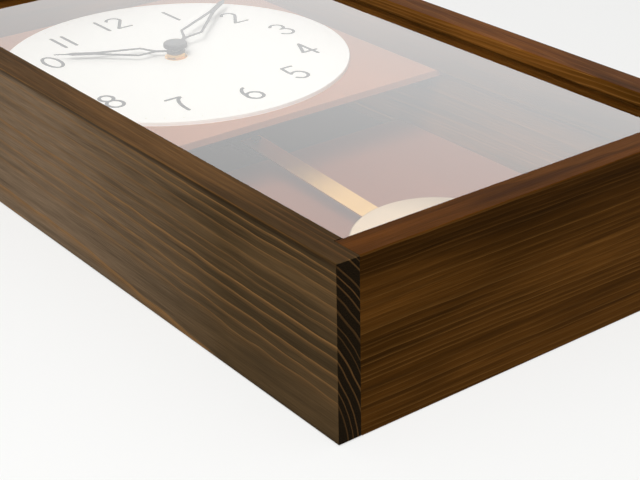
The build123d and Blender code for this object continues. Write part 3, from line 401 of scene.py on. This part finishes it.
def ink(name, tone):
    """Screen-printed ink: flat, slightly uneven in density."""
    material, tree, shader = new_material(name)
    mesh = add(tree, "VectorMath", millimetre_points(tree), per_cell(1.5, 1.5, 1.5), operation="MULTIPLY")
    density = add(tree, "TexNoise", mesh, Scale=1.0, Detail=1.0)
    film = add(tree, "Mix", density, tone, shade(tone, 1.25), data_type="RGBA")
    fill(shader, Roughness=0.5, IOR=1.5, Base_Color=film)
    return material


def black_paint(name, tone):
    """Stamped sheet in black stoving enamel: satin, with faint orange peel."""
    material, tree, shader = new_material(name)
    drops = add(tree, "VectorMath", millimetre_points(tree), per_cell(0.7, 0.7, 0.7), operation="MULTIPLY")
    peel = add(tree, "TexNoise", drops, Scale=1.0, Detail=1.0)
    film = add(tree, "Mix", peel, tone, shade(tone, 1.6), data_type="RGBA")
    relief = add(tree, "Bump", Height=peel, Distance=0.02 * MM, Strength=0.25)
    fill(shader, Roughness=0.38, IOR=1.5, Base_Color=film, Normal=relief)
    return material


def drawn_metal(name, tone, roughness, line_size, tarnish=0.12):
    """Drawn, turned or rolled metal under clear lacquer: fine lines along the long side of
    line_size, in millimetres, coarser than the tool's own, and a faint uneven tarnish."""
    material, tree, shader = new_material(name)
    points = millimetre_points(tree)
    strokes = add(tree, "VectorMath", points, per_cell(*line_size), operation="MULTIPLY")
    lines = add(tree, "TexNoise", strokes, Scale=1.0, Detail=2.0)
    drift = add(tree, "VectorMath", points, per_cell(14, 14, 14), operation="MULTIPLY")
    cloud = add(tree, "TexNoise", drift, Scale=1.0, Detail=3.0)
    ground = add(tree, "Mix", cloud, shade(tone, 1 - tarnish), tone, data_type="RGBA")
    sheen = add(tree, "ValToRGB", lines, stops=[(0.3, roughness * 0.8), (0.7, roughness * 1.25)])
    relief = add(tree, "Bump", Height=lines, Distance=0.01 * MM, Strength=0.25)
    fill(shader, Metallic=1.0, Base_Color=ground, Roughness=sheen, Normal=relief)
    return material


def spun_brass(name, tone, centre, roughness):
    """A bob pressed and spun from brass sheet, satin lacquered: faint rings round its centre."""
    material, tree, shader = new_material(name)
    points = millimetre_points(tree, centre=centre)
    flat = add(tree, "VectorMath", points, (1, 0, 1), operation="MULTIPLY")
    radius = add(tree, "VectorMath", flat, operation="LENGTH")
    rings_each_mm = 2.2
    rings = add(tree, "TexNoise", radius, Scale=rings_each_mm, Detail=2.0, noise_dimensions="1D")
    drift = add(tree, "VectorMath", points, per_cell(20, 20, 20), operation="MULTIPLY")
    cloud = add(tree, "TexNoise", drift, Scale=1.0, Detail=2.0)
    ground = add(tree, "Mix", cloud, shade(tone, 0.93), tone, data_type="RGBA")
    sheen = add(tree, "ValToRGB", rings, stops=[(0.3, roughness * 0.85), (0.7, roughness * 1.2)])
    relief = add(tree, "Bump", Height=rings, Distance=0.008 * MM, Strength=0.2)
    fill(shader, Metallic=0.6, Base_Color=ground, Roughness=sheen, Normal=relief)
    return material


def moulded_plastic(name, tone, roughness=0.45):
    """Injection-moulded plastic with a spark-eroded tool finish: even, softly speckled sheen. The
    speckle is drawn coarser than real so that it shows."""
    material, tree, shader = new_material(name)
    pits = add(tree, "VectorMath", millimetre_points(tree), per_cell(0.35, 0.35, 0.35), operation="MULTIPLY")
    speckle = add(tree, "TexNoise", pits, Scale=1.0, Detail=2.0)
    ground = add(tree, "Mix", speckle, shade(tone, 0.85), shade(tone, 1.2), data_type="RGBA")
    sheen = add(tree, "ValToRGB", speckle, stops=[(0.3, roughness * 1.2), (0.7, roughness * 0.85)])
    relief = add(tree, "Bump", Height=speckle, Distance=0.03 * MM, Strength=0.3)
    fill(shader, IOR=1.5, Base_Color=ground, Roughness=sheen, Normal=relief)
    return material


def battery_wrapper(name, centre):
    """A printed steel can, bare at the ends: plain dark wrapper with a silver shoulder."""
    material, tree, shader = new_material(name)
    points = millimetre_points(tree, centre=centre)
    along = add(tree, "SeparateXYZ", points).outputs["X"]
    can_length = 50
    share = add(tree, "Math", along, 1 / can_length, 0.5, operation="MULTIPLY_ADD")
    bands = {0.0: "C9CACB", 0.035: "26303B", 0.72: "B9BDC0", 0.74: "3F6D87", 0.955: "C9CACB"}
    stops = [(place, linear(code)) for place, code in bands.items()]
    wrapped = add(tree, "ValToRGB", share, stops=stops, steps=True)
    scratches = add(tree, "VectorMath", points, per_cell(6, 0.5, 0.5), operation="MULTIPLY")
    scuff = add(tree, "TexNoise", scratches, Scale=1.0, Detail=2.0)
    sheen = add(tree, "ValToRGB", scuff, stops=[(0.3, 0.26), (0.7, 0.4)])
    fill(shader, Metallic=0.7, Base_Color=wrapped, Roughness=sheen)
    return material


def circuit_lacquer(name):
    """Glass-fibre board under green lacquer, with the copper tracks showing as paler lines."""
    material, tree, shader = new_material(name)
    track_cells = {"feature": "DISTANCE_TO_EDGE", "distance": "CHEBYCHEV", "Scale": 0.35}
    tracks = add(tree, "TexVoronoi", millimetre_points(tree), **track_cells)
    stops = [(0.0, linear("4F9A5D")), (0.09, linear("1B5A33"))]
    green = add(tree, "ValToRGB", tracks, stops=stops, steps=True)
    relief = add(tree, "Bump", Height=tracks, Distance=0.03 * MM, Strength=0.4)
    fill(shader, Roughness=0.35, IOR=1.5, Base_Color=green, Normal=relief)
    return material


def wound_copper(name):
    """Enamelled copper wire, wound in even turns a quarter of a millimetre wide."""
    material, tree, shader = new_material(name)
    wire = 0.25
    turns = add(tree, "SeparateXYZ", millimetre_points(tree)).outputs["Y"]
    angle = add(tree, "Math", turns, math.tau / wire, operation="MULTIPLY")
    wave = add(tree, "Math", angle, operation="SINE")
    height = add(tree, "Math", wave, 0.5, 0.5, operation="MULTIPLY_ADD")
    copper = add(tree, "ValToRGB", height, stops=[(0.0, linear("6E3A1E")), (1.0, linear("B8703F"))])
    relief = add(tree, "Bump", Height=height, Distance=0.08 * MM, Strength=0.5)
    fill(shader, Metallic=1.0, Roughness=0.3, Base_Color=copper, Normal=relief)
    return material


def dress(material, *nodes):
    """Gives CAD nodes a material in place of their plain one."""
    for name in nodes:
        slots = frame["nodes"][name].data.materials
        if not slots:
            raise RuntimeError(f"{name} has no material slot")
        for index in range(len(slots)):
            slots[index] = material


def finished_piece(mesh, name, material, body, slot, *replaced):
    """Turns a bmesh into a smooth piece that sits at the origin and rides on a body."""
    data = bpy.data.meshes.new(name)
    bmesh.ops.recalc_face_normals(mesh, faces=mesh.faces)
    mesh.to_mesh(data)
    mesh.free()
    data.materials.append(material)
    for polygon in data.polygons:
        polygon.use_smooth = True
    piece = bpy.data.objects.new(name, data)
    bpy.context.scene.collection.objects.link(piece)
    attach(piece, body)
    if replaced:
        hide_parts(*replaced)


class CLOCK_OT_case(bpy.types.Operator):
    """Finishes the case's boards, strips and dowels, each cut from its own place in the log, and its glass"""

    bl_idname = "clock.case"
    bl_label = "Wooden case"

    def execute(self, context):
        _, tone = settings()
        side = (tone.side_dark, tone.side_light, tone.side_ring, tone.end_grain)
        base = (tone.base_dark, tone.base_light, tone.base_ring, tone.end_grain)
        # Painted light: the base wood's tones drawn lighter for the right board, which stands in the stronger
        # light
        paler = (*(shade(part, tone.right_gain) for part in base[:-1]), tone.end_grain)
        beech = tuple(linear(code) for code in ("A98458", "C29D6C", "D3B385", "8C6A42"))
        left_x, right_x, front_y = CASE_LOW.x / MM, CASE_HIGH.x / MM, CASE_LOW.y / MM
        # Where the edge is, how far in millimetres the darkening reaches, and how dark it gets. On the left
        # panel it is a dark line along the front arris, and on the base it is painted shade along its front
        # arris
        left_edge = ({"X": left_x, "Y": front_y}, 3.2, 0.35)
        base_shade_edge = ({"Y": front_y, "Z": 0.0}, 30.0, 0.6)
        left = stained_softwood(
            "pine_flat_sawn_left", side, GRAIN_ALONG_Z, pith=(left_x - 105, 66), ring=3.5, taper=0.015,
            sway=6.0, line=1.0, streak=0.35, painted_sheen=(250, 1.0), dark_edge=left_edge,
        )
        right = stained_softwood(
            "pine_flat_sawn_right", paler, GRAIN_ALONG_Z, pith=(right_x - 60, -250), ring=2.6, taper=0.02,
            sway=6.0, line=0.7, streak=0.4,
        )
        bottom = stained_softwood(
            "pine_quarter_sawn_base", base, GRAIN_ALONG_X, pith=(-230, 40), ring=3.3, taper=0.012,
            sway=3.5, line=0.6, streak=0.5, dark_edge=base_shade_edge,
        )
        top = stained_softwood(
            "pine_quarter_sawn_top", base, GRAIN_ALONG_X, pith=(190, 400), ring=1.8, taper=0.016,
            sway=9.0, line=0.7, streak=0.6,
        )
        strips = stained_softwood(
            "pine_strips", base, GRAIN_ALONG_Z, pith=(35, -60), ring=1.6, taper=0.01,
            sway=5.0, line=0.5, streak=0.3,
        )
        cross_strips = stained_softwood(
            "pine_cross_strips", base, GRAIN_ALONG_X, pith=(-70, 300), ring=1.6, taper=0.01,
            sway=5.0, line=0.5, streak=0.3,
        )
        dowels = stained_softwood(
            "beech_dowel", beech, GRAIN_ALONG_X, pith=(0, 0), ring=1.0, taper=0.0, sway=2.0, line=0.3
        )
        dress(left, "left_side_panel")
        dress(right, "right_side_panel")
        dress(bottom, "bottom_panel")
        dress(top, "top_panel")
        dress(strips, "glass_stop_left", "glass_stop_right")
        dress(strips, "dial_board_cleat_left", "dial_board_cleat_right")
        dress(cross_strips, "glass_stop_top", "glass_stop_bottom", "hanging_rail")
        dress(dowels, "corner_dowels")
        dress(window_glass("float_glass_polished"), "front_glass")
        return {"FINISHED"}


class CLOCK_OT_boards(bpy.types.Operator):
    """Finishes the board behind the dial and the panel at the back"""

    bl_idname = "clock.boards"
    bl_label = "Inner boards"

    def execute(self, context):
        _, tone = settings()
        dress(stained_board("fibreboard_red_stained", tone.board), "dial_board")
        dress(stained_board("fibreboard_brown_stained", tone.back), "back_panel")
        zinc = drawn_metal("steel_zinc_plated", linear("B9B9B2"), 0.35, SCREW_LINES)
        dress(zinc, "back_panel_screws", "hanger_screws", "hanger_plate", "cleat_screws")
        return {"FINISHED"}


def arc(centre, radii, start, end, steps=20):
    """Points along part of an ellipse, from one angle to another, in degrees."""
    angles = [math.radians(start + (end - start) * i / steps) for i in range(steps + 1)]
    return [(centre[0] + radii[0] * math.cos(a), centre[1] + radii[1] * math.sin(a)) for a in angles]


def numeral_strokes(sign, half_height, half_width):
    """The strokes of a thin rounded number, as lists of points round its own middle."""
    # Places are shares of the half height h and the half width w, and angles are in degrees
    h, w = half_height, half_width
    upper, lower = h * 0.46, h * 0.54
    shapes = {
        "0": [arc((0, 0), (w, h), 90, 450, 40)],
        "1": [[(0, -h), (0, h)]],
        "2": [arc((0, h - upper), (w * 0.95, upper), 168, -38) + [(-w, -h)], [(-w, -h), (w, -h)]],
        "3": [
            arc((0, h - upper), (w * 0.9, upper), 155, -90),
            arc((0, lower - h), (w, lower), 90, -155),
        ],
        "4": [
            [(w * 0.45, -h), (w * 0.45, h)],
            [(w * 0.45, h), (-w, -h * 0.42)],
            [(-w, -h * 0.42), (w * 1.05, -h * 0.42)],
        ],
        "5": [
            [(w * 0.85, h), (-w * 0.62, h)],
            [(-w * 0.62, h), (-w * 0.82, h * 0.14)],
            arc((-w * 0.05, lower * 0.98 - h), (w, lower * 1.05), 138, -150)
        ],
        "6": [
            arc((0, lower - h), (w, lower), 90, 450, 36),
            arc((w * 0.62, lower - h), (w * 1.62, h * 1.42), 180, 108, 14),
        ],
        "7": [[(-w * 0.95, h), (w * 0.95, h)], arc((w * 1.1, -h), (w * 1.5, h * 1.9), 96, 180, 14)],
        "8": [
            arc((0, h - upper), (w * 0.84, upper), -90, 270, 32),
            arc((0, lower - h), (w, lower), 90, 450, 36),
        ],
    }
    shapes["9"] = [[(-x, -y) for x, y in stroke] for stroke in shapes["6"]]
    return shapes[sign]


def print_strokes(mesh, strokes, middle, width, height):
    """Adds strokes with round ends to the mesh, flat on the dial round the place middle."""
    flatten = Matrix.Diagonal((1, 2 * height / width, 1, 1))
    curve = bpy.data.curves.new("stroke", "CURVE")
    curve.dimensions = "3D"
    curve.bevel_depth = width / 2
    curve.bevel_resolution = 3
    curve.use_fill_caps = True
    for stroke in strokes:
        spline = curve.splines.new("POLY")
        spline.points.add(len(stroke) - 1)
        for point, (x, z) in zip(spline.points, stroke):
            point.co = (x, 0, z, 1)
    holder = bpy.data.objects.new("stroke", curve)
    bpy.context.scene.collection.objects.link(holder)
    shape = bpy.data.meshes.new_from_object(holder.evaluated_get(bpy.context.evaluated_depsgraph_get()))
    shape.transform(Matrix.Translation(middle) @ flatten)
    mesh.from_mesh(shape)
    bpy.data.objects.remove(holder)
    bpy.data.curves.remove(curve)
    bpy.data.meshes.remove(shape)
    for stroke in strokes:
        for x, z in (stroke[0], stroke[-1]):
            place = Matrix.Translation(Vector(middle) + Vector((x, 0, z))) @ flatten
            bmesh.ops.create_uvsphere(mesh, u_segments=12, v_segments=8, radius=width / 2, matrix=place)


class CLOCK_OT_dial(bpy.types.Operator):
    """Prints the numbers and the minute dots, and finishes the dial"""

    bl_idname = "clock.dial"
    bl_label = "Dial"

    def execute(self, context):
        size, tone = settings()
        dress(printed_card("card_matt_coated", tone.dial), "dial_plate")
        half_height = (size.numeral_height - size.numeral_stroke) / 2
        half_width = (size.numeral_width - size.numeral_stroke) / 2
        face_y = DIAL_LOW.y
        numbers = bmesh.new()
        # In millimetres: the tens stand left of their place and the ones right of it, as printed
        spread = {"10": (-8.0, 5.6), "11": (-3.7, 3.7), "12": (-6.2, 5.4)}
        for hour in range(1, HOURS + 1):
            angle = math.tau * hour / HOURS
            middle_x = size.numeral_ring * math.sin(angle)
            middle_z = DIAL_CENTRE.z + size.numeral_ring * math.cos(angle)
            signs = str(hour)
            for sign, shift in zip(signs, spread.get(signs, (0,))):
                place = (middle_x + shift * MM, face_y, middle_z)
                strokes = numeral_strokes(sign, half_height, half_width)
                print_strokes(numbers, strokes, place, size.numeral_stroke, size.print_height)
        finished_piece(numbers, "dial_numbers", ink("ink_black_screened", tone.ink), "case", "hand_black")
        dots = bmesh.new()
        radius = size.dot_width / 2
        flatten = Matrix.Diagonal((1, size.print_height / radius, 1, 1))
        for minute in range(MINUTES):
            angle = math.tau * minute / MINUTES
            x, z = size.dot_ring * math.sin(angle), size.dot_ring * math.cos(angle)
            place = Matrix.Translation((x, face_y, DIAL_CENTRE.z + z)) @ flatten
            bmesh.ops.create_uvsphere(dots, u_segments=10, v_segments=6, radius=radius, matrix=place)
        grey = ink("ink_grey_screened", tone.dot_ink)
        finished_piece(dots, "dial_minute_dots", grey, "case", "hand_black")
        return {"FINISHED"}


class CLOCK_OT_hands(bpy.types.Operator):
    """Finishes the hands, their cap and the turned brass of the hub"""

    bl_idname = "clock.hands"
    bl_label = "Hands and hub"

    def execute(self, context):
        _, tone = settings()
        dress(black_paint("steel_black_enamelled", tone.hand), "hour_hand", "minute_hand", "hand_cap")
        brass = drawn_metal("brass_turned", tone.brass, 0.22, TURNED_LINES)
        dress(brass, "centre_nut", "centre_washer", "movement_bushing")
        return {"FINISHED"}


class CLOCK_OT_movement(bpy.types.Operator):
    """Finishes the movement, its battery and its wheels"""

    bl_idname = "clock.movement"
    bl_label = "Movement"

    def execute(self, context):
        _, tone = settings()
        black = moulded_plastic("plastic_black_moulded", tone.plastic)
        dress(black, "movement_case_front", "movement_case_back")
        dress(black, "setting_knob", "drive_block", "pendulum_arm")
        white = moulded_plastic("plastic_white_moulded", linear("D8D5CC"), 0.35)
        dress(white, "centre_wheel", "minute_wheel", "hour_wheel")
        steel = drawn_metal("steel_ground", linear("AEB1B4"), 0.28, TURNED_LINES)
        dress(steel, "minute_arbor", "pivot_pin", "battery_terminals", "arm_magnet")
        low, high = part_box("battery")
        dress(battery_wrapper("steel_can_printed", (low + high) / 2 / MM), "battery")
        dress(circuit_lacquer("glass_fibre_green_lacquered"), "circuit_board")
        dress(wound_copper("copper_wire_enamelled"), "pendulum_coil")
        return {"FINISHED"}


class CLOCK_OT_pendulum(bpy.types.Operator):
    """Spins the bob's domed face and finishes the pendulum"""

    bl_idname = "clock.pendulum"
    bl_label = "Pendulum"

    def execute(self, context):
        size, tone = settings()
        dress(drawn_metal("brass_rolled_lacquered", tone.rod, 0.42, ROD_LINES), "pendulum_rod")
        dress(drawn_metal("brass_turned_nut", tone.brass, 0.3, TURNED_LINES), "bob_nut")
        dress(drawn_metal("steel_plate_zinc", linear("A9A9A4"), 0.4, PLATE_LINES), "bob_back_plate")

        # The bob sits on the line of the rod, which leans back from its hook
        hook = Vector(JOINTS["pendulum_lean"]["pos_m"])
        down = Vector((0, math.sin(ROD_LEAN), -math.cos(ROD_LEAN)))
        ahead = Vector((0, -math.cos(ROD_LEAN), -math.sin(ROD_LEAN)))
        plate_middle = (BOB_PLATE_LOW + BOB_PLATE_HIGH) / 2
        centre = hook + down * (plate_middle - hook).dot(down)

        # Its outline from the middle of the dome out, round the edge, and back inside the wall
        rim, dome, rounding = size.bob_rim, size.bob_dome, size.bob_rounding
        wall, foot = rim * 0.08, rim * 0.04
        dome_steps, edge_steps, inner_steps, turns = 24, 6, 12, 96
        edge = BOB_RADIUS - rounding
        curve = (edge**2 + dome**2) / (2 * dome)
        profile = []
        for i in range(dome_steps + 1):
            r = edge * i / dome_steps
            profile.append((r, rim + dome - (curve - math.sqrt(curve**2 - r**2))))
        for i in range(1, edge_steps + 1):
            turn = math.pi / 2 * (1 - i / edge_steps)
            profile.append((edge + rounding * math.cos(turn), rim - rounding * (1 - math.sin(turn))))
        inside = BOB_RADIUS - wall
        profile += [(BOB_RADIUS, foot), (inside, foot), (inside, rim - rounding)]
        for i in range(inner_steps + 1):
            above = profile[dome_steps - dome_steps // inner_steps * i][1]
            profile.append((edge * (1 - i / inner_steps), above - wall))
        shell = bmesh.new()
        points = [shell.verts.new((r, 0, z)) for r, z in profile]
        edges = [shell.edges.new(pair) for pair in zip(points, points[1:])]
        spun = {"cent": (0, 0, 0), "axis": (0, 0, 1), "angle": math.tau, "steps": turns, "use_merge": True}
        bmesh.ops.spin(shell, geom=points + edges, **spun)
        bmesh.ops.remove_doubles(shell, verts=shell.verts, dist=MERGE)
        right = Vector((1, 0, 0))
        place = Matrix((right, ahead.cross(right), ahead)).transposed().to_4x4()
        place.translation = centre
        bmesh.ops.transform(shell, matrix=place, verts=shell.verts)
        face = spun_brass("brass_spun_champagne", tone.bob, centre / MM, 0.38)
        finished_piece(shell, "bob_face", face, "pendulum", "bob_brass", "bob_shell")
        return {"FINISHED"}


def lamp(name, place, target, size, watts):
    """A square soft lamp that looks at target."""
    data = bpy.data.lights.new(name, "AREA")
    data.shape = "SQUARE"
    data.size = size
    data.energy = watts
    holder = bpy.data.objects.new(name, data)
    holder.location = place
    holder.rotation_euler = (target - place).to_track_quat("-Z", "Y").to_euler()
    bpy.context.scene.collection.objects.link(holder)
    return holder


class CLOCK_OT_stage(bpy.types.Operator):
    """Sets the floor under the clock's back, the soft lamps, the white surroundings and the camera"""

    bl_idname = "clock.stage"
    bl_label = "Stage"

    def execute(self, context):
        scene = context.scene
        size, tone = settings()
        middle = (CASE_LOW + CASE_HIGH) / 2

        # The clock lies on its back, so the floor stands upright in the clock's own frame
        half_side, gap = 6.0, 0.5 * MM
        place = Matrix.Translation((0, CASE_HIGH.y + gap, middle.z)) @ Matrix.Rotation(math.pi / 2, 4, "X")
        mesh = bmesh.new()
        bmesh.ops.create_grid(mesh, x_segments=1, y_segments=1, size=half_side, matrix=place)
        data = bpy.data.meshes.new("floor")
        mesh.to_mesh(data)
        mesh.free()
        floor = bpy.data.objects.new("floor", data)
        scene.collection.objects.link(floor)

        # Painted shadow: inside the case's outline the floor is drawn dark and without glow, for the clock's
        # shadow on it, which shows through the open back
        material, tree, shader = new_material("floor_pale")
        data.materials.append(material)
        inset, shadow_share = 1.0, 0.12
        half = (CASE_HIGH - CASE_LOW) / 2 / MM
        away = add(tree, "VectorMath", millimetre_points(tree, centre=middle / MM), operation="ABSOLUTE")
        away = add(tree, "SeparateXYZ", away)
        wide = add(tree, "Math", away.outputs["X"], half.x - inset, operation="GREATER_THAN")
        tall = add(tree, "Math", away.outputs["Z"], half.z - inset, operation="GREATER_THAN")
        outside_shadow = add(tree, "Math", wide, tall, operation="MAXIMUM")
        glow = add(tree, "Math", outside_shadow, size.floor_glow, operation="MULTIPLY")
        ground = add(tree, "Mix", outside_shadow, shade(tone.floor, shadow_share), tone.floor, data_type="RGBA")
        fill(shader, Roughness=0.9, Base_Color=ground, Emission_Color=(1, 1, 0.99), Emission_Strength=glow)

        # It shows from in front, to the camera and in mirrors, and lets all other light through
        path = add(tree, "LightPath")
        seen = path.outputs["Is Camera Ray"]
        for ray in ("Is Glossy Ray", "Is Transmission Ray"):
            seen = add(tree, "Math", seen, path.outputs[ray], operation="MAXIMUM")
        behind = add(tree, "NewGeometry").outputs["Backfacing"]
        in_front = add(tree, "Math", 1.0, behind, operation="SUBTRACT")
        shown = add(tree, "Math", seen, in_front, operation="MULTIPLY")
        clear = add(tree, "BsdfTransparent")
        fill(tree.nodes["Material Output"], add(tree, "MixShader", shown, clear, shader))

        # The key lamp stands where the shadows in the clock point back to. Mirrors don't show it, as
        # the glass would show it from the front as a white square
        key_way = Vector((0.65, 1.0, 0.46)).normalized()
        key_distance = 1.6
        key = lamp("key_lamp", middle - key_way * key_distance, middle, size=0.7, watts=20)
        key.visible_glossy = False
        back_place = Vector((0.4, 1.6, 0.9))
        lamp("back_lamp", middle + back_place, middle, size=1.2, watts=10)

        # The room is white to the camera and a soft light to the clock. What the glass mirrors is a
        # bright wall of it, brighter to the camera's right
        world = bpy.data.worlds.new("white_room")
        scene.world = world
        world.use_nodes = True
        tree = world.node_tree
        room_light, wall_darkest, wall_brightest = 0.35, 0.5, 2.0
        mirrored_right = Vector(CAMERA_RIGHT) * Vector((1, -1, 1))
        way = add(tree, "TexCoord").outputs["Generated"]
        aside = add(tree, "VectorMath", way, mirrored_right, operation="DOT_PRODUCT")
        wall = add(tree, "Math", aside, size.wall_slope, size.wall_glow, operation="MULTIPLY_ADD")
        wall = add(tree, "Math", wall, wall_darkest, operation="MAXIMUM")
        wall = add(tree, "Math", wall, wall_brightest, operation="MINIMUM")
        path = add(tree, "LightPath")
        camera_ray, mirrored = path.outputs["Is Camera Ray"], path.outputs["Is Glossy Ray"]
        plain = add(tree, "Math", camera_ray, 1 - room_light, room_light, operation="MULTIPLY_ADD")
        direct = add(tree, "Math", 1.0, mirrored, operation="SUBTRACT")
        plain = add(tree, "Math", plain, direct, operation="MULTIPLY")
        level = add(tree, "Math", mirrored, wall, plain, operation="MULTIPLY_ADD")
        fill(tree.nodes["Background"], Color=(1, 1, 1), Strength=level)

        camera_data = bpy.data.cameras.new("camera")
        camera_data.sensor_width = 36.0
        camera_data.lens = CAMERA_LENS
        camera_data.clip_start = 0.01
        camera_data.clip_end = 50.0
        camera = bpy.data.objects.new("camera", camera_data)
        columns = Matrix((CAMERA_RIGHT, CAMERA_UP, CAMERA_BACK)).transposed().to_4x4()
        columns.translation = Vector(CAMERA_PLACE)
        camera.matrix_world = columns
        scene.collection.objects.link(camera)
        scene.camera = camera
        scene.view_settings.view_transform = "Standard"
        return {"FINISHED"}


OPERATORS = (
    CLOCK_OT_case,
    CLOCK_OT_boards,
    CLOCK_OT_dial,
    CLOCK_OT_hands,
    CLOCK_OT_movement,
    CLOCK_OT_pendulum,
    CLOCK_OT_stage,
)


class CLOCK_PT_panel(bpy.types.Panel):
    """Lists the clock's sizes, colours and pieces"""

    bl_idname = "CLOCK_PT_panel"
    bl_label = "Pendulum clock"
    bl_space_type = "VIEW_3D"
    bl_region_type = "UI"
    bl_category = "Clock"

    def draw(self, context):
        for group in (context.scene.clock_sizes, context.scene.clock_colours):
            box = self.layout.box()
            for name in group.__annotations__:
                box.prop(group, name)
        for operator in OPERATORS:
            self.layout.operator(operator.bl_idname)


CLASSES = (ClockSizes, ClockColours, *OPERATORS, CLOCK_PT_panel)


def register():
    for item in CLASSES:
        bpy.utils.register_class(item)
    bpy.types.Scene.clock_sizes = PointerProperty(type=ClockSizes)
    bpy.types.Scene.clock_colours = PointerProperty(type=ClockColours)


def unregister():
    del bpy.types.Scene.clock_colours
    del bpy.types.Scene.clock_sizes
    for item in reversed(CLASSES):
        bpy.utils.unregister_class(item)


def main():
    register()
    bpy.ops.clock.case()
    bpy.ops.clock.boards()
    bpy.ops.clock.dial()
    bpy.ops.clock.hands()
    bpy.ops.clock.movement()
    bpy.ops.clock.pendulum()
    bpy.ops.clock.stage()


if __name__ == "__main__":
    main()
